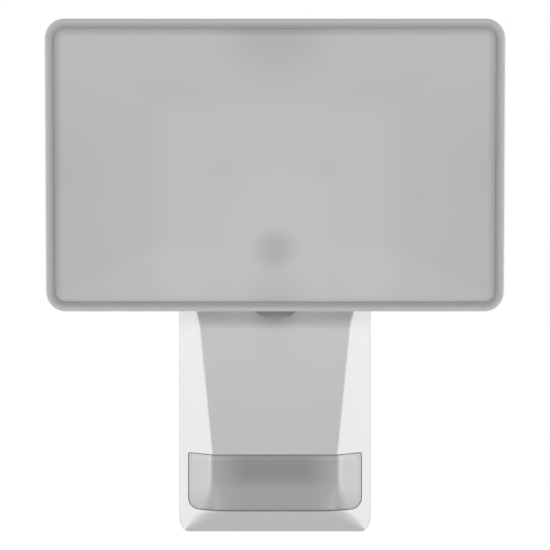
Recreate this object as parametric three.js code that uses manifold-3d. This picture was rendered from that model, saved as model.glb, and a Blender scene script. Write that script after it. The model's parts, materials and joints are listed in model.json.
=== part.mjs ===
// Wall-mounted LED floodlight with a motion sensor, as an assembly of separate pieces.
//
// Units are millimetres. X is to the right, Y points into the wall and Z is up. The origin is the
// centre of the wall bracket's back face, so the wall is the plane y = 0. Everything stands on its
// -Y side, and "depth" in this file is the distance from the wall, that is -y.
//
// The base hangs on the wall bracket and holds the mains electronics and the motion sensor. An arm
// comes out of its top front. A ball tilts on the arm's eye, and the lamp head's yoke pans on the ball.
import * as THREE from "three";
import { mergeVertices } from "three/addons/utils/BufferGeometryUtils.js";
import Module from "manifold-3d";

const wasm = await Module();
wasm.setup();

// ---- Driving dimensions -------------------------------------------------------------------------
const GAP = 0.3; // clearance between two pieces that rest on each other
const WALL = 2.5; // wall of the moulded housings

// Base housing.
const BASE_WIDTH = 84.9;
const BASE_BOTTOM = -53.3;
const BASE_TOP = 68;
const BASE_REAR = 1; // the rim stops this far from the wall
const BASE_FRONT = 62; // greatest depth, at the sensor lens
const CHAMFER_DEPTH = 41; // depth where the side ends and the chamfer starts
const CHAMFER_SLOPE = 1.35; // rise in depth for each millimetre towards the middle
const FRONT_SLOPE = 0.1405; // how fast the front panel leans back above the lens
const SHOULDER = 1.5; // how far the front panel steps back under the lamp head
const SHOULDER_LOW = 37;
const SHOULDER_HIGH = 46;
const CHIN_DEPTH = 43; // depth of the bottom edge under the lens
const BASE_BOTTOM_CORNER = 5.5;
const BASE_TOP_CORNER = 9;
const BASE_TOP_FRONT_ROUND = 7;

// Sensor lens.
const LENS_TOP = -18.2;
const LENS_BOTTOM = -42.2;
const LENS_HALF_WIDTH = 37.9;
const LENS_CORNER = 4.3;
const LENS_WALL = 1.6;
const LENS_FLANGE = 2.4; // how far the hidden flange reaches behind the housing wall
const LENS_GROOVE = 0.5; // open line round the lens

// Wall bracket and wiring space.
const BRACKET_WIDTH = 66;
const BRACKET_HEIGHT = 84;
const BRACKET_THICKNESS = 2.5;
const CABLE_HEIGHT = 24; // height of the mains cable's entry
const CABLE_BORE = 5;
const COVER_DEPTH = 16; // rear cover's back face
const COVER_THICKNESS = 2.5;
const COVER_SEAL = 1.4;
const SIDE_SCREW_HEIGHT = -30;
const SIDE_SCREW_DEPTH = 7;
const TERMINAL_POLES = 3;
const TERMINAL_PITCH = 11;
const TERMINAL_LOW = -8;
const TERMINAL_HIGH = 6;
const SUPPLY_LEAD_X = 20; // where the supply lead passes through the rear cover
const SUPPLY_LEAD_HEIGHT = 26;

// Setting dials under the base.
const DIAL_RADIUS = 6;
const DIAL_THICKNESS = 2.6;
const DIAL_PITCH = 17;
const DIAL_DEPTH = 30;
const DIAL_STEM = 2;
const POT_SIZE = 9;
const POT_HEIGHT = 6;

// Electronics.
const BOARD = 1.6;
const DRIVER_DEPTH = 22;
const DRIVER_WIDTH = 56;
const DRIVER_BOTTOM = -16;
const DRIVER_TOP = 48;
const SENSOR_DEPTH = 44;
const SENSOR_WIDTH = 34;
const SENSOR_LOW = -39;
const SENSOR_HIGH = -20;

// Neck and ball knuckle. The pivot is where the tilt and pan axes cross.
const PIVOT_DEPTH = 68;
const PIVOT_HEIGHT = 56.5;
const REST_TILT = 3.4; // degrees, lamp face turned down
const TILT_DOWN = 50; // degrees from rest
const TILT_UP = 20;
const BALL_RADIUS = 15;
const BALL_FLAT_DEPTH = 3.5; // how deep the flats under the yoke's ears are cut
const ARM_WIDTH = 8;
const ARM_HEIGHT = 6;
const EYE_RADIUS = 7;
const NECK_FLANGE_BACK = 42; // back face of the arm's flange, inside the housing
const NECK_FLANGE = 3;
const NECK_SEAL = 1.2;
const LEAD_RADIUS = 1.7;
const WASHER = 0.8;
const BALL_SEAT = 3.6; // how deep the tilt screw's head and nut are sunk in the ball
const TILT_SHANK = 2.4;
const PAN_SHANK = 1.3;
const EAR = 3.2; // thickness of the yoke's ears
const YOKE_PLATE = 2.3;
const YOKE_PLATE_HALF = 22;
const YOKE_PLATE_HIGH = 36;
const YOKE_SCREW_X = 16;
const YOKE_SCREW_HEIGHT = 27;

// Lamp head, measured from the pivot: depth forwards and height upwards.
const HEAD_WIDTH = 189.6;
const HEAD_LOW = -9;
const HEAD_HIGH = 111.5;
const HEAD_BACK = 18;
const HEAD_FRONT = 44;
const HEAD_CORNER = 8.2;
const HEAD_RIM = 3.4; // width of the bead round the front cover
const HEAD_GROOVE = 0.4; // open line between bead and cover
const HEAD_ROUND = 2; // rounding of the outer edges
const COVER_THICK = 3.2;
const COVER_ROUND = 1.4;
const COVER_DROP = 0.6; // the cover lies this far behind the bead
const SEAL_THICK = 2;
const LEDGE_THICK = 2.5;
const LEDGE_WIDTH = 3.5;
const FLOOR_HALF_WIDTH = 48.5; // flat floor of the reflector
const FLOOR_LOW = 18;
const FLOOR_HIGH = 76;
const REFLECTOR_WALL = 1.2;
const SPREADER_THICK = 2;
const LED_COLUMNS = 6;
const LED_ROWS = 4;
const LED_SIZE = 3.5;
const GLAND_HEIGHT = 21;
const GLAND_RADIUS = 4;
const POST_EDGE = 4.6; // cover screws, from the bead's inner edge
const VENT_X = 34;
const VENT_HEIGHT = 92;
const VENT_RADIUS = 4.5;

// Fasteners.
const SCREW = 1.5; // shank radius of the housing screws
const SCREW_HEAD = 2.8;
const SCREW_HEAD_HEIGHT = 1.8;

// ---- Values that follow from them ---------------------------------------------------------------
// Depth of the leaning front panel at a height, before it steps back at the shoulder.
function frontAt(height) {
  return BASE_FRONT - (height - LENS_TOP) * FRONT_SLOPE;
}

const HALF_BASE = BASE_WIDTH / 2;
const FOLD_AT_LENS = HALF_BASE - (BASE_FRONT - CHAMFER_DEPTH) / CHAMFER_SLOPE;
const BASE_TOP_FRONT = frontAt(BASE_TOP) - SHOULDER;
const HALF_HEAD = HEAD_WIDTH / 2;
const COVER_FRONT_FACE = COVER_DEPTH + COVER_THICKNESS;
const LEDGE_DEPTH = COVER_FRONT_FACE + GAP + COVER_SEAL + GAP;
const DIAL_WELL_RADIUS = DIAL_RADIUS + GAP;
const DIAL_TOP = BASE_BOTTOM + 0.2 + DIAL_THICKNESS;
const PAD_TOP = DIAL_TOP + GAP + WALL;
const POT_BOTTOM = PAD_TOP + GAP;
const POST_INSET = HEAD_RIM + POST_EDGE;
const COVER_FACE = HEAD_FRONT - COVER_DROP; // front face of the opal cover
const COVER_BACK = COVER_FACE - COVER_THICK - COVER_ROUND;
const SEAL_BACK = COVER_BACK - GAP - SEAL_THICK;
const LEDGE_BACK = SEAL_BACK - GAP - LEDGE_THICK;
const HEAD_INSIDE = HEAD_BACK + WALL;
const SPREADER_BACK = HEAD_INSIDE + 3.3;
const LED_BACK = SPREADER_BACK + SPREADER_THICK + GAP;
const REFLECTOR_BACK = LED_BACK + BOARD + GAP;
const REFLECTOR_FRONT = COVER_BACK - 1.2;
const YOKE_FRONT = HEAD_BACK - GAP;
const YOKE_BACK = YOKE_FRONT - YOKE_PLATE;
const BALL_FLAT = BALL_RADIUS - BALL_FLAT_DEPTH;
const EAR_INNER = BALL_FLAT + GAP;
const EAR_OUTER = EAR_INNER + EAR;
const TILT_HEAD = BALL_RADIUS - BALL_SEAT + GAP; // where the tilt screw's head starts
const NECK_SEAL_BACK = NECK_FLANGE_BACK + NECK_FLANGE + GAP;
const PARTS_DEPTH = DRIVER_DEPTH + BOARD + GAP; // where the driver board's components start
const LEAD_RUN = REFLECTOR_BACK - LEAD_RADIUS - 2 * GAP;
const DEGREE = Math.PI / 180;

// ---- Materials ----------------------------------------------------------------------------------
function finish(color, roughness, metalness = 0) {
  return new THREE.MeshStandardMaterial({ color, roughness, metalness });
}

const whitePlastic = finish(0xeeeeec, 0.45);
const opalPlastic = finish(0xdededd, 0.35);
const milkyLens = finish(0xc9c9c8, 0.3);
const greyRubber = finish(0x4a4b4c, 0.8);
const blackPlastic = finish(0x1c1d1f, 0.5);
const boardGreen = finish(0x1d5a38, 0.5);
const boardWhite = finish(0xe8e8e2, 0.5);
const castAluminium = finish(0xd9dadb, 0.4, 0.4);
const plainAluminium = finish(0xb4b7ba, 0.35, 1);
const zincSteel = finish(0xa9acaf, 0.3, 1);
const yellowTape = finish(0xd9b23a, 0.5);
const leadSheath = finish(0xdcdcda, 0.6);
const nylon = finish(0xd8d5cb, 0.5);

// ---- Solids -------------------------------------------------------------------------------------
function solidFrom(geometry) {
  const loose = geometry.index ? geometry.toNonIndexed() : geometry;
  const bare = new THREE.BufferGeometry();
  bare.setAttribute("position", loose.getAttribute("position"));
  const merged = mergeVertices(bare, 1e-4);
  const mesh = new wasm.Mesh({
    numProp: 3,
    vertProperties: merged.attributes.position.array,
    triVerts: new Uint32Array(merged.index.array),
  });
  return new wasm.Manifold(mesh);
}

function join(first, ...others) {
  return others.reduce((sum, other) => sum.add(other), first);
}

function cut(first, ...tools) {
  return tools.reduce((rest, tool) => rest.subtract(tool), first);
}

function common(first, ...others) {
  return others.reduce((shared, other) => shared.intersect(other), first);
}

function named(name, material, solid) {
  const data = solid.getMesh();
  const geometry = new THREE.BufferGeometry();
  geometry.setAttribute("position", new THREE.BufferAttribute(data.vertProperties, 3));
  geometry.setIndex(new THREE.BufferAttribute(data.triVerts, 1));
  const mesh = new THREE.Mesh(geometry, material);
  mesh.name = name;
  return mesh;
}

// ---- Outlines: corners are [u, v, radius], listed anticlockwise ---------------------------------
const ARC_STEP = 30 * DEGREE;

// The line from one corner to the next, moved inwards by inset.
function insetLine(corners, index, inset) {
  const [u, v] = corners[index];
  const [nextU, nextV] = corners[(index + 1) % corners.length];
  const along = new THREE.Vector2(nextU - u, nextV - v).normalize();
  const inwards = new THREE.Vector2(-along.y, along.x);
  const point = new THREE.Vector2(u, v).addScaledVector(inwards, inset);
  return { point, along, inwards };
}

function outline(corners, inset = 0) {
  const count = corners.length;
  const lines = corners.map((corner, index) => insetLine(corners, index, inset));
  const points = [];
  corners.forEach(([, , radius = 0], index) => {
    const before = lines[(index + count - 1) % count];
    const after = lines[index];
    const turn = before.along.cross(after.along);
    const apart = after.point.clone().sub(before.point);
    const corner = before.point.clone().addScaledVector(before.along, apart.cross(after.along) / turn);
    const side = Math.sign(turn);
    const round = radius - side * inset;
    if (radius === 0 || round <= 0) {
      points.push(corner);
      return;
    }
    const angle = Math.atan2(turn, before.along.dot(after.along));
    const start = corner.clone().addScaledVector(before.along, -round * Math.tan(Math.abs(angle) / 2));
    const centre = start.clone().addScaledVector(before.inwards, round * side);
    const steps = Math.max(2, Math.ceil(Math.abs(angle) / ARC_STEP));
    for (let step = 0; step <= steps; step += 1) {
      points.push(start.clone().rotateAround(centre, (angle * step) / steps));
    }
  });
  return new THREE.Shape(points);
}

function rectangle(left, right, low, high, radius = 0) {
  return [
    [left, low, radius],
    [right, low, radius],
    [right, high, radius],
    [left, high, radius],
  ];
}

function extrusion(shape, length) {
  return new THREE.ExtrudeGeometry(shape, { depth: length, bevelEnabled: false });
}

// An outline in (x, height), extruded from one depth to another.
function slab(shape, near, far) {
  return solidFrom(extrusion(shape, far - near).rotateX(Math.PI / 2).translate(0, -near, 0));
}

// The same with rounded edges inside the two depths. The outline is the slab's widest section.
function roundedSlab(corners, near, far, round) {
  const shape = outline(corners, round);
  const geometry = new THREE.ExtrudeGeometry(shape, {
    depth: far - near - 2 * round,
    bevelThickness: round,
    bevelSize: round,
    bevelSegments: 2,
  });
  return solidFrom(geometry.rotateX(Math.PI / 2).translate(0, -near - round, 0));
}

// An outline in (depth, height), extruded across from one x to another.
function crossBar(shape, left, right) {
  const turn = new THREE.Matrix4().makeBasis(
    new THREE.Vector3(0, -1, 0),
    new THREE.Vector3(0, 0, 1),
    new THREE.Vector3(-1, 0, 0),
  );
  return solidFrom(extrusion(shape, right - left).applyMatrix4(turn).translate(right, 0, 0));
}

// An outline in (x, depth), extruded upwards from one height to another.
function upright(shape, low, high) {
  return solidFrom(extrusion(shape, high - low).rotateX(Math.PI).translate(0, 0, high));
}

function block(left, right, near, far, low, high) {
  return slab(outline(rectangle(left, right, low, high)), near, far);
}

// Round bars: forwards, across or upwards.
function depthRod(radius, near, far, x, height, sides = 12) {
  const geometry = new THREE.CylinderGeometry(radius, radius, far - near, sides);
  return solidFrom(geometry.translate(x, -(near + far) / 2, height));
}

function acrossRod(radius, left, right, depth, height, sides = 12) {
  const geometry = new THREE.CylinderGeometry(radius, radius, right - left, sides);
  return solidFrom(geometry.rotateZ(Math.PI / 2).translate((left + right) / 2, -depth, height));
}

function uprightRod(radius, low, high, x, depth, sides = 12) {
  const geometry = new THREE.CylinderGeometry(radius, radius, high - low, sides);
  return solidFrom(geometry.rotateX(Math.PI / 2).translate(x, -depth, (low + high) / 2));
}

function ball(radius, x = 0, depth = 0, height = 0) {
  return solidFrom(new THREE.SphereGeometry(radius, 24, 14).translate(x, -depth, height));
}

// A ring between two outlines, from one depth to another.
function frameSlab(corners, outerInset, innerInset, near, far) {
  const outer = slab(outline(corners, outerInset), near, far);
  return cut(outer, slab(outline(corners, innerInset), near - 1, far + 1));
}

function tubeAlong(points, radius, sides = 4) {
  const path = new THREE.CatmullRomCurve3(points.map(([x, depth, z]) => new THREE.Vector3(x, -depth, z)));
  const section = new THREE.Shape();
  section.absarc(0, 0, radius, 0, 2 * Math.PI);
  const geometry = new THREE.ExtrudeGeometry(section, {
    steps: Math.round(path.getLength() / (3 * radius)),
    curveSegments: sides,
    extrudePath: path,
  });
  return solidFrom(geometry);
}

// ---- Fasteners: head at the start, shank towards the end, a driver slot in the head -------------
// The screw is turned about X for an upward or downward one and about Z for a sideways one.
function screwGeometry(shank, head, headHeight, length) {
  const profile = [
    new THREE.Vector2(0, 0),
    new THREE.Vector2(head * 0.8, 0),
    new THREE.Vector2(head, headHeight * 0.45),
    new THREE.Vector2(head, headHeight),
    new THREE.Vector2(shank, headHeight),
    new THREE.Vector2(shank, length),
    new THREE.Vector2(0, length),
  ];
  return new THREE.LatheGeometry(profile, 8);
}

function recessGeometry(width, length, depth) {
  return new THREE.BoxGeometry(length, 2 * depth, width);
}

function place(geometry, turn, position) {
  const spot = new THREE.Matrix4().makeTranslation(position.x, position.y, position.z);
  return geometry.applyMatrix4(spot.multiply(turn));
}

// direction is the way the shank points: "forwards", "backwards", "left", "right", "up" or "down".
function screw(direction, x, depth, height, shank, head, headHeight, length) {
  const towards = {
    forwards: new THREE.Vector3(0, -1, 0),
    backwards: new THREE.Vector3(0, 1, 0),
    left: new THREE.Vector3(-1, 0, 0),
    right: new THREE.Vector3(1, 0, 0),
    up: new THREE.Vector3(0, 0, 1),
    down: new THREE.Vector3(0, 0, -1),
  }[direction];
  const quaternion = new THREE.Quaternion().setFromUnitVectors(new THREE.Vector3(0, 1, 0), towards);
  const turn = new THREE.Matrix4().makeRotationFromQuaternion(quaternion);
  const spot = new THREE.Vector3(x, -depth, height);
  const body = solidFrom(place(screwGeometry(shank, head, headHeight, length), turn, spot));
  const recess = headHeight * 0.55;
  const slot = recessGeometry(head * 0.28, head * 1.1, recess);
  return cut(body, solidFrom(place(slot, turn, spot)));
}

// ---- Base ---------------------------------------------------------------------------------------
// The base's outer form with every face moved inwards by inset, and its open back at the given depth.
function baseForm(inset, rear) {
  const back = rear - inset;
  const front = rectangle(-HALF_BASE, HALF_BASE, BASE_BOTTOM, BASE_TOP);
  front[0][2] = BASE_BOTTOM_CORNER;
  front[1][2] = BASE_BOTTOM_CORNER;
  front[2][2] = BASE_TOP_CORNER;
  front[3][2] = BASE_TOP_CORNER;
  const side = [
    [back, BASE_BOTTOM],
    [CHIN_DEPTH, BASE_BOTTOM, 4],
    [BASE_FRONT, LENS_BOTTOM, 3],
    [BASE_FRONT, LENS_TOP, 12],
    [frontAt(SHOULDER_LOW), SHOULDER_LOW, 14],
    [frontAt(SHOULDER_HIGH) - SHOULDER, SHOULDER_HIGH, 14],
    [BASE_TOP_FRONT, BASE_TOP, BASE_TOP_FRONT_ROUND],
    [back, BASE_TOP],
  ];
  const plan = [
    [-HALF_BASE, back],
    [HALF_BASE, back],
    [HALF_BASE, CHAMFER_DEPTH, 3],
    [FOLD_AT_LENS, BASE_FRONT, 2],
    [-FOLD_AT_LENS, BASE_FRONT, 2],
    [-HALF_BASE, CHAMFER_DEPTH, 3],
  ];
  return common(
    slab(outline(front, inset), rear, BASE_FRONT + 1),
    crossBar(outline(side, inset), -HALF_BASE - 1, HALF_BASE + 1),
    upright(outline(plan, inset), BASE_BOTTOM - 1, BASE_TOP + 1),
  );
}

// The mouth that the rear cover fits, seen from the back.
function mouthCorners() {
  const corners = rectangle(-HALF_BASE, HALF_BASE, BASE_BOTTOM, BASE_TOP, BASE_BOTTOM_CORNER);
  corners[2][2] = BASE_TOP_CORNER;
  corners[3][2] = BASE_TOP_CORNER;
  return corners;
}

// The lens window in the front view, grown outwards by margin.
function lensWindow(margin) {
  const corners = rectangle(-LENS_HALF_WIDTH, LENS_HALF_WIDTH, LENS_BOTTOM, LENS_TOP, LENS_CORNER);
  corners[2][2] = 0.8;
  corners[3][2] = 0.8;
  return slab(outline(corners, -margin), CHAMFER_DEPTH - 3, BASE_FRONT + 5);
}

function coverScrewPlaces() {
  const x = HALF_BASE - WALL - 3;
  const low = BASE_BOTTOM + WALL + 11;
  const high = BASE_TOP - WALL - 11;
  return [
    [-x, low],
    [x, low],
    [-x, high],
    [x, high],
  ];
}

function dialPlaces() {
  return [-DIAL_PITCH, 0, DIAL_PITCH];
}

function neckScrewPlaces() {
  const x = ARM_WIDTH / 2 + 4.8;
  return [-x, x];
}

function baseHousing() {
  let housing = cut(baseForm(0, BASE_REAR), baseForm(WALL, BASE_REAR - 1));
  const keep = slab(outline(mouthCorners(), WALL / 2), BASE_REAR, BASE_FRONT);
  const ledge = frameSlab(mouthCorners(), WALL / 2, WALL + LEDGE_WIDTH, LEDGE_DEPTH, LEDGE_DEPTH + 2);
  housing = join(housing, ledge);
  coverScrewPlaces().forEach(([x, z]) => {
    housing = join(housing, common(depthRod(3.4, LEDGE_DEPTH, LEDGE_DEPTH + 11, x, z), keep));
  });
  const padHalf = DIAL_PITCH + 10;
  const pad = block(-padHalf, padHalf, DIAL_DEPTH - 9, DIAL_DEPTH + 9, BASE_BOTTOM + 1, PAD_TOP);
  housing = join(housing, pad);
  const sidePad = SCREW_HEAD + 1.5;
  [-1, 1].forEach((side) => {
    const inner = HALF_BASE - WALL - 1.2;
    const x = [side * inner, side * (HALF_BASE - 0.5)].sort((a, b) => a - b);
    housing = join(housing, acrossRod(sidePad, x[0], x[1], SIDE_SCREW_DEPTH, SIDE_SCREW_HEIGHT));
  });
  const insideFace = BASE_TOP_FRONT - WALL;
  neckScrewPlaces().forEach((x) => {
    housing = join(housing, depthRod(2.8, NECK_SEAL_BACK, insideFace + 3, x, PIVOT_HEIGHT));
  });
  return cutHousing(housing);
}


// Window, screw holes, dial wells and the arm's opening.
function cutHousing(housing) {
  let rest = cut(housing, lensWindow(LENS_GROOVE));
  coverScrewPlaces().forEach(([x, z]) => {
    rest = cut(rest, depthRod(SCREW + GAP, LEDGE_DEPTH - 1, LEDGE_DEPTH + 9, x, z));
  });
  dialPlaces().forEach((x) => {
    rest = cut(
      rest,
      uprightRod(DIAL_WELL_RADIUS, BASE_BOTTOM - 1, DIAL_TOP + GAP, x, DIAL_DEPTH, 18),
      uprightRod(DIAL_STEM + GAP, DIAL_TOP - 1, PAD_TOP + 1, x, DIAL_DEPTH),
    );
  });
  const outside = HALF_BASE + 1;
  const seat = HALF_BASE - SCREW_HEAD_HEIGHT;
  const inner = HALF_BASE - WALL - 3;
  rest = cut(
    rest,
    acrossRod(SCREW_HEAD + GAP, seat, outside, SIDE_SCREW_DEPTH, SIDE_SCREW_HEIGHT),
    acrossRod(SCREW_HEAD + GAP, -outside, -seat, SIDE_SCREW_DEPTH, SIDE_SCREW_HEIGHT),
    acrossRod(SCREW + GAP, inner, outside, SIDE_SCREW_DEPTH, SIDE_SCREW_HEIGHT),
    acrossRod(SCREW + GAP, -outside, -inner, SIDE_SCREW_DEPTH, SIDE_SCREW_HEIGHT),
  );
  neckScrewPlaces().forEach((x) => {
    rest = cut(rest, depthRod(PAN_SHANK + GAP, NECK_SEAL_BACK - 1, NECK_SEAL_BACK + 3.2, x, PIVOT_HEIGHT));
  });
  return cut(rest, armHole(NECK_SEAL_BACK - 1, BASE_FRONT));
}

function armHole(near, far) {
  const halfWidth = ARM_WIDTH / 2 + GAP;
  const halfHeight = ARM_HEIGHT / 2 + GAP;
  return block(-halfWidth, halfWidth, near, far, PIVOT_HEIGHT - halfHeight, PIVOT_HEIGHT + halfHeight);
}

function wallBracket() {
  const halfWidth = BRACKET_WIDTH / 2;
  const halfHeight = BRACKET_HEIGHT / 2;
  const corners = rectangle(-halfWidth, halfWidth, -halfHeight, halfHeight, 5);
  let plate = slab(outline(corners), 0, BRACKET_THICKNESS);
  const lugOut = HALF_BASE - WALL - 1.2 - GAP;
  const lugIn = halfWidth - 4;
  const low = SIDE_SCREW_HEIGHT - 5;
  const high = SIDE_SCREW_HEIGHT + 5;
  const far = SIDE_SCREW_DEPTH + 5;
  const middle = SIDE_SCREW_DEPTH;
  plate = join(
    plate,
    block(lugIn, lugOut, BRACKET_THICKNESS / 2, far, low, high),
    block(-lugOut, -lugIn, BRACKET_THICKNESS / 2, far, low, high),
  );
  plate = cut(
    plate,
    depthRod(CABLE_BORE + 4 + GAP, -1, BRACKET_THICKNESS + 1, 0, CABLE_HEIGHT, 16),
    acrossRod(SCREW + GAP, lugIn - 1, lugOut + 1, middle, SIDE_SCREW_HEIGHT),
    acrossRod(SCREW + GAP, -lugOut - 1, -lugIn + 1, middle, SIDE_SCREW_HEIGHT),
  );
  // Upright slots for the wall screws, and a level one near the bottom.
  const slotHalf = 2.4;
  [-1, 1].forEach((side) => {
    const x = side * (halfWidth - 8);
    const slot = outline(rectangle(x - slotHalf, x + slotHalf, 16, 30, slotHalf - 0.05));
    plate = cut(plate, slab(slot, -1, BRACKET_THICKNESS + 1));
  });
  const level = outline(rectangle(-8, 8, -34, -34 + 2 * slotHalf, slotHalf - 0.05));
  return cut(plate, slab(level, -1, BRACKET_THICKNESS + 1));
}

function latheAlongDepth(profile, x, depth, height, sides = 14) {
  const points = profile.map(([radius, along]) => new THREE.Vector2(radius, along));
  const geometry = new THREE.LatheGeometry(points, sides);
  return solidFrom(geometry.rotateX(Math.PI).translate(x, -depth, height));
}

function latheUp(profile, x, depth, height, sides = 14) {
  const points = profile.map(([radius, along]) => new THREE.Vector2(radius, along));
  const geometry = new THREE.LatheGeometry(points, sides);
  return solidFrom(geometry.rotateX(Math.PI / 2).translate(x, -depth, height));
}

// A closed ring section for a lathe, listed so that its faces point outwards.
function ringSection(inner, outer, low, high) {
  return [
    [inner, low],
    [outer, low],
    [outer, high],
    [inner, high],
    [inner, low],
  ];
}

function cableGrommet() {
  const neck = CABLE_BORE + 4;
  const section = [
    [CABLE_BORE, 0.3],
    [neck, 0.3],
    [neck, BRACKET_THICKNESS + GAP],
    [neck + 2, BRACKET_THICKNESS + GAP],
    [neck + 1, BRACKET_THICKNESS + 2.5],
    [CABLE_BORE, BRACKET_THICKNESS + 4.5],
    [CABLE_BORE, 0.3],
  ];
  return latheAlongDepth(section, 0, 0, CABLE_HEIGHT);
}

function terminalBlock() {
  const halfWidth = (TERMINAL_POLES * TERMINAL_PITCH) / 2;
  const near = BRACKET_THICKNESS + GAP;
  const far = near + 10;
  let body = block(-halfWidth, halfWidth, near, far, TERMINAL_LOW, TERMINAL_HIGH);
  for (let pole = 0; pole < TERMINAL_POLES; pole += 1) {
    const x = (pole - (TERMINAL_POLES - 1) / 2) * TERMINAL_PITCH;
    const wireDepth = near + 4;
    body = cut(
      body,
      uprightRod(1.9, TERMINAL_LOW - 1, TERMINAL_LOW + 5, x, wireDepth, 10),
      uprightRod(1.9, TERMINAL_HIGH - 5, TERMINAL_HIGH + 1, x, wireDepth, 10),
      depthRod(2, far - 2.5, far + 1, x, (TERMINAL_LOW + TERMINAL_HIGH) / 2, 12),
    );
    const boundary = x + TERMINAL_PITCH / 2;
    if (pole < TERMINAL_POLES - 1) {
      const low = TERMINAL_LOW - 1;
      const high = TERMINAL_HIGH + 1;
      body = cut(body, block(boundary - 0.6, boundary + 0.6, far - 3, far + 1, low, high));
    }
  }
  return body;
}

function rearCover() {
  let cover = slab(outline(mouthCorners(), WALL + GAP), COVER_DEPTH, COVER_FRONT_FACE);
  [-1, 1].forEach((side) => {
    [DRIVER_BOTTOM + 6, DRIVER_TOP - 6].forEach((z) => {
      const x = side * (DRIVER_WIDTH / 2 - 5);
      cover = join(cover, depthRod(3, COVER_FRONT_FACE - 1, DRIVER_DEPTH - GAP, x, z));
    });
  });
  coverScrewPlaces().forEach(([x, z]) => {
    cover = cut(cover, depthRod(SCREW + GAP, COVER_DEPTH - 1, COVER_FRONT_FACE + 1, x, z));
  });
  return cut(
    cover,
    depthRod(LEAD_RADIUS + GAP, COVER_DEPTH - 1, COVER_FRONT_FACE + 1, SUPPLY_LEAD_X, SUPPLY_LEAD_HEIGHT, 12),
  );
}

function rearSeal() {
  const near = COVER_FRONT_FACE + GAP;
  let ring = frameSlab(mouthCorners(), WALL + GAP, WALL + 3.2, near, near + COVER_SEAL);
  coverScrewPlaces().forEach(([x, z]) => {
    ring = join(ring, depthRod(3.2, near, near + COVER_SEAL, x, z));
  });
  ring = common(ring, slab(outline(mouthCorners(), WALL + GAP), near, near + COVER_SEAL));
  coverScrewPlaces().forEach(([x, z]) => {
    ring = cut(ring, depthRod(SCREW + GAP, near - 1, near + COVER_SEAL + 1, x, z));
  });
  return ring;
}

function sensorLens() {
  const inside = WALL + GAP + 1.2;
  const shell = cut(baseForm(0, BASE_REAR), baseForm(inside, BASE_REAR - 1));
  const hollow = baseForm(LENS_WALL, BASE_REAR - 1);
  const tub = cut(common(shell, lensWindow(0)), common(hollow, lensWindow(-LENS_WALL)));
  const flangeShell = cut(baseForm(WALL + GAP, BASE_REAR), baseForm(inside, BASE_REAR - 1));
  const flange = cut(common(flangeShell, lensWindow(LENS_FLANGE)), lensWindow(-LENS_WALL / 2));
  return join(tub, flange);
}

function lensSeal() {
  const near = WALL + GAP + 1.2 + GAP;
  const shell = cut(baseForm(near, BASE_REAR), baseForm(near + 1.2, BASE_REAR - 1));
  return cut(common(shell, lensWindow(LENS_FLANGE)), lensWindow(-LENS_WALL));
}

function dial() {
  const low = BASE_BOTTOM + 0.2;
  const section = [
    [0, low],
    [DIAL_RADIUS - 0.6, low],
    [DIAL_RADIUS, low + 0.6],
    [DIAL_RADIUS, DIAL_TOP],
    [DIAL_STEM, DIAL_TOP],
    [DIAL_STEM, POT_BOTTOM + 3],
    [0, POT_BOTTOM + 3],
  ];
  const knob = latheUp(section, 0, DIAL_DEPTH, 0, 18);
  const slot = block(-0.8, 0.8, DIAL_DEPTH - DIAL_RADIUS + 1, DIAL_DEPTH + DIAL_RADIUS - 1, low - 1, low + 1);
  return cut(knob, slot);
}

function dialPot(x) {
  const half = POT_SIZE / 2;
  const top = POT_BOTTOM + POT_HEIGHT;
  const body = block(x - half, x + half, DIAL_DEPTH - half, DIAL_DEPTH + half, POT_BOTTOM, top);
  return cut(body, uprightRod(DIAL_STEM + GAP, POT_BOTTOM - 1, POT_BOTTOM + 3 + GAP, x, DIAL_DEPTH));
}

function dialBoard() {
  const low = POT_BOTTOM + POT_HEIGHT + GAP;
  const half = DIAL_PITCH + POT_SIZE / 2 + 2;
  return block(-half, half, DIAL_DEPTH - 9, DIAL_DEPTH + 8, low, low + BOARD);
}

function driverBoard() {
  const half = DRIVER_WIDTH / 2;
  const corners = rectangle(-half, half, DRIVER_BOTTOM, DRIVER_TOP, 2);
  return slab(outline(corners), DRIVER_DEPTH, DRIVER_DEPTH + BOARD);
}

function transformer() {
  const core = block(-20, -2, PARTS_DEPTH, PARTS_DEPTH + 14, 14, 32);
  const coil = block(-17, -5, PARTS_DEPTH + 2, PARTS_DEPTH + 12, 11, 35);
  return join(core, coil);
}

function capacitor(radius, length, x, low) {
  const profile = [
    [0, 0],
    [radius - 0.5, 0],
    [radius, 0.6],
    [radius, length - 0.6],
    [radius - 0.5, length],
    [0, length],
  ];
  return latheUp(profile, x, PARTS_DEPTH + radius, low, 16);
}

function choke() {
  return latheAlongDepth(ringSection(3, 7, 0, 6), 14, PARTS_DEPTH, -6);
}

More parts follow.
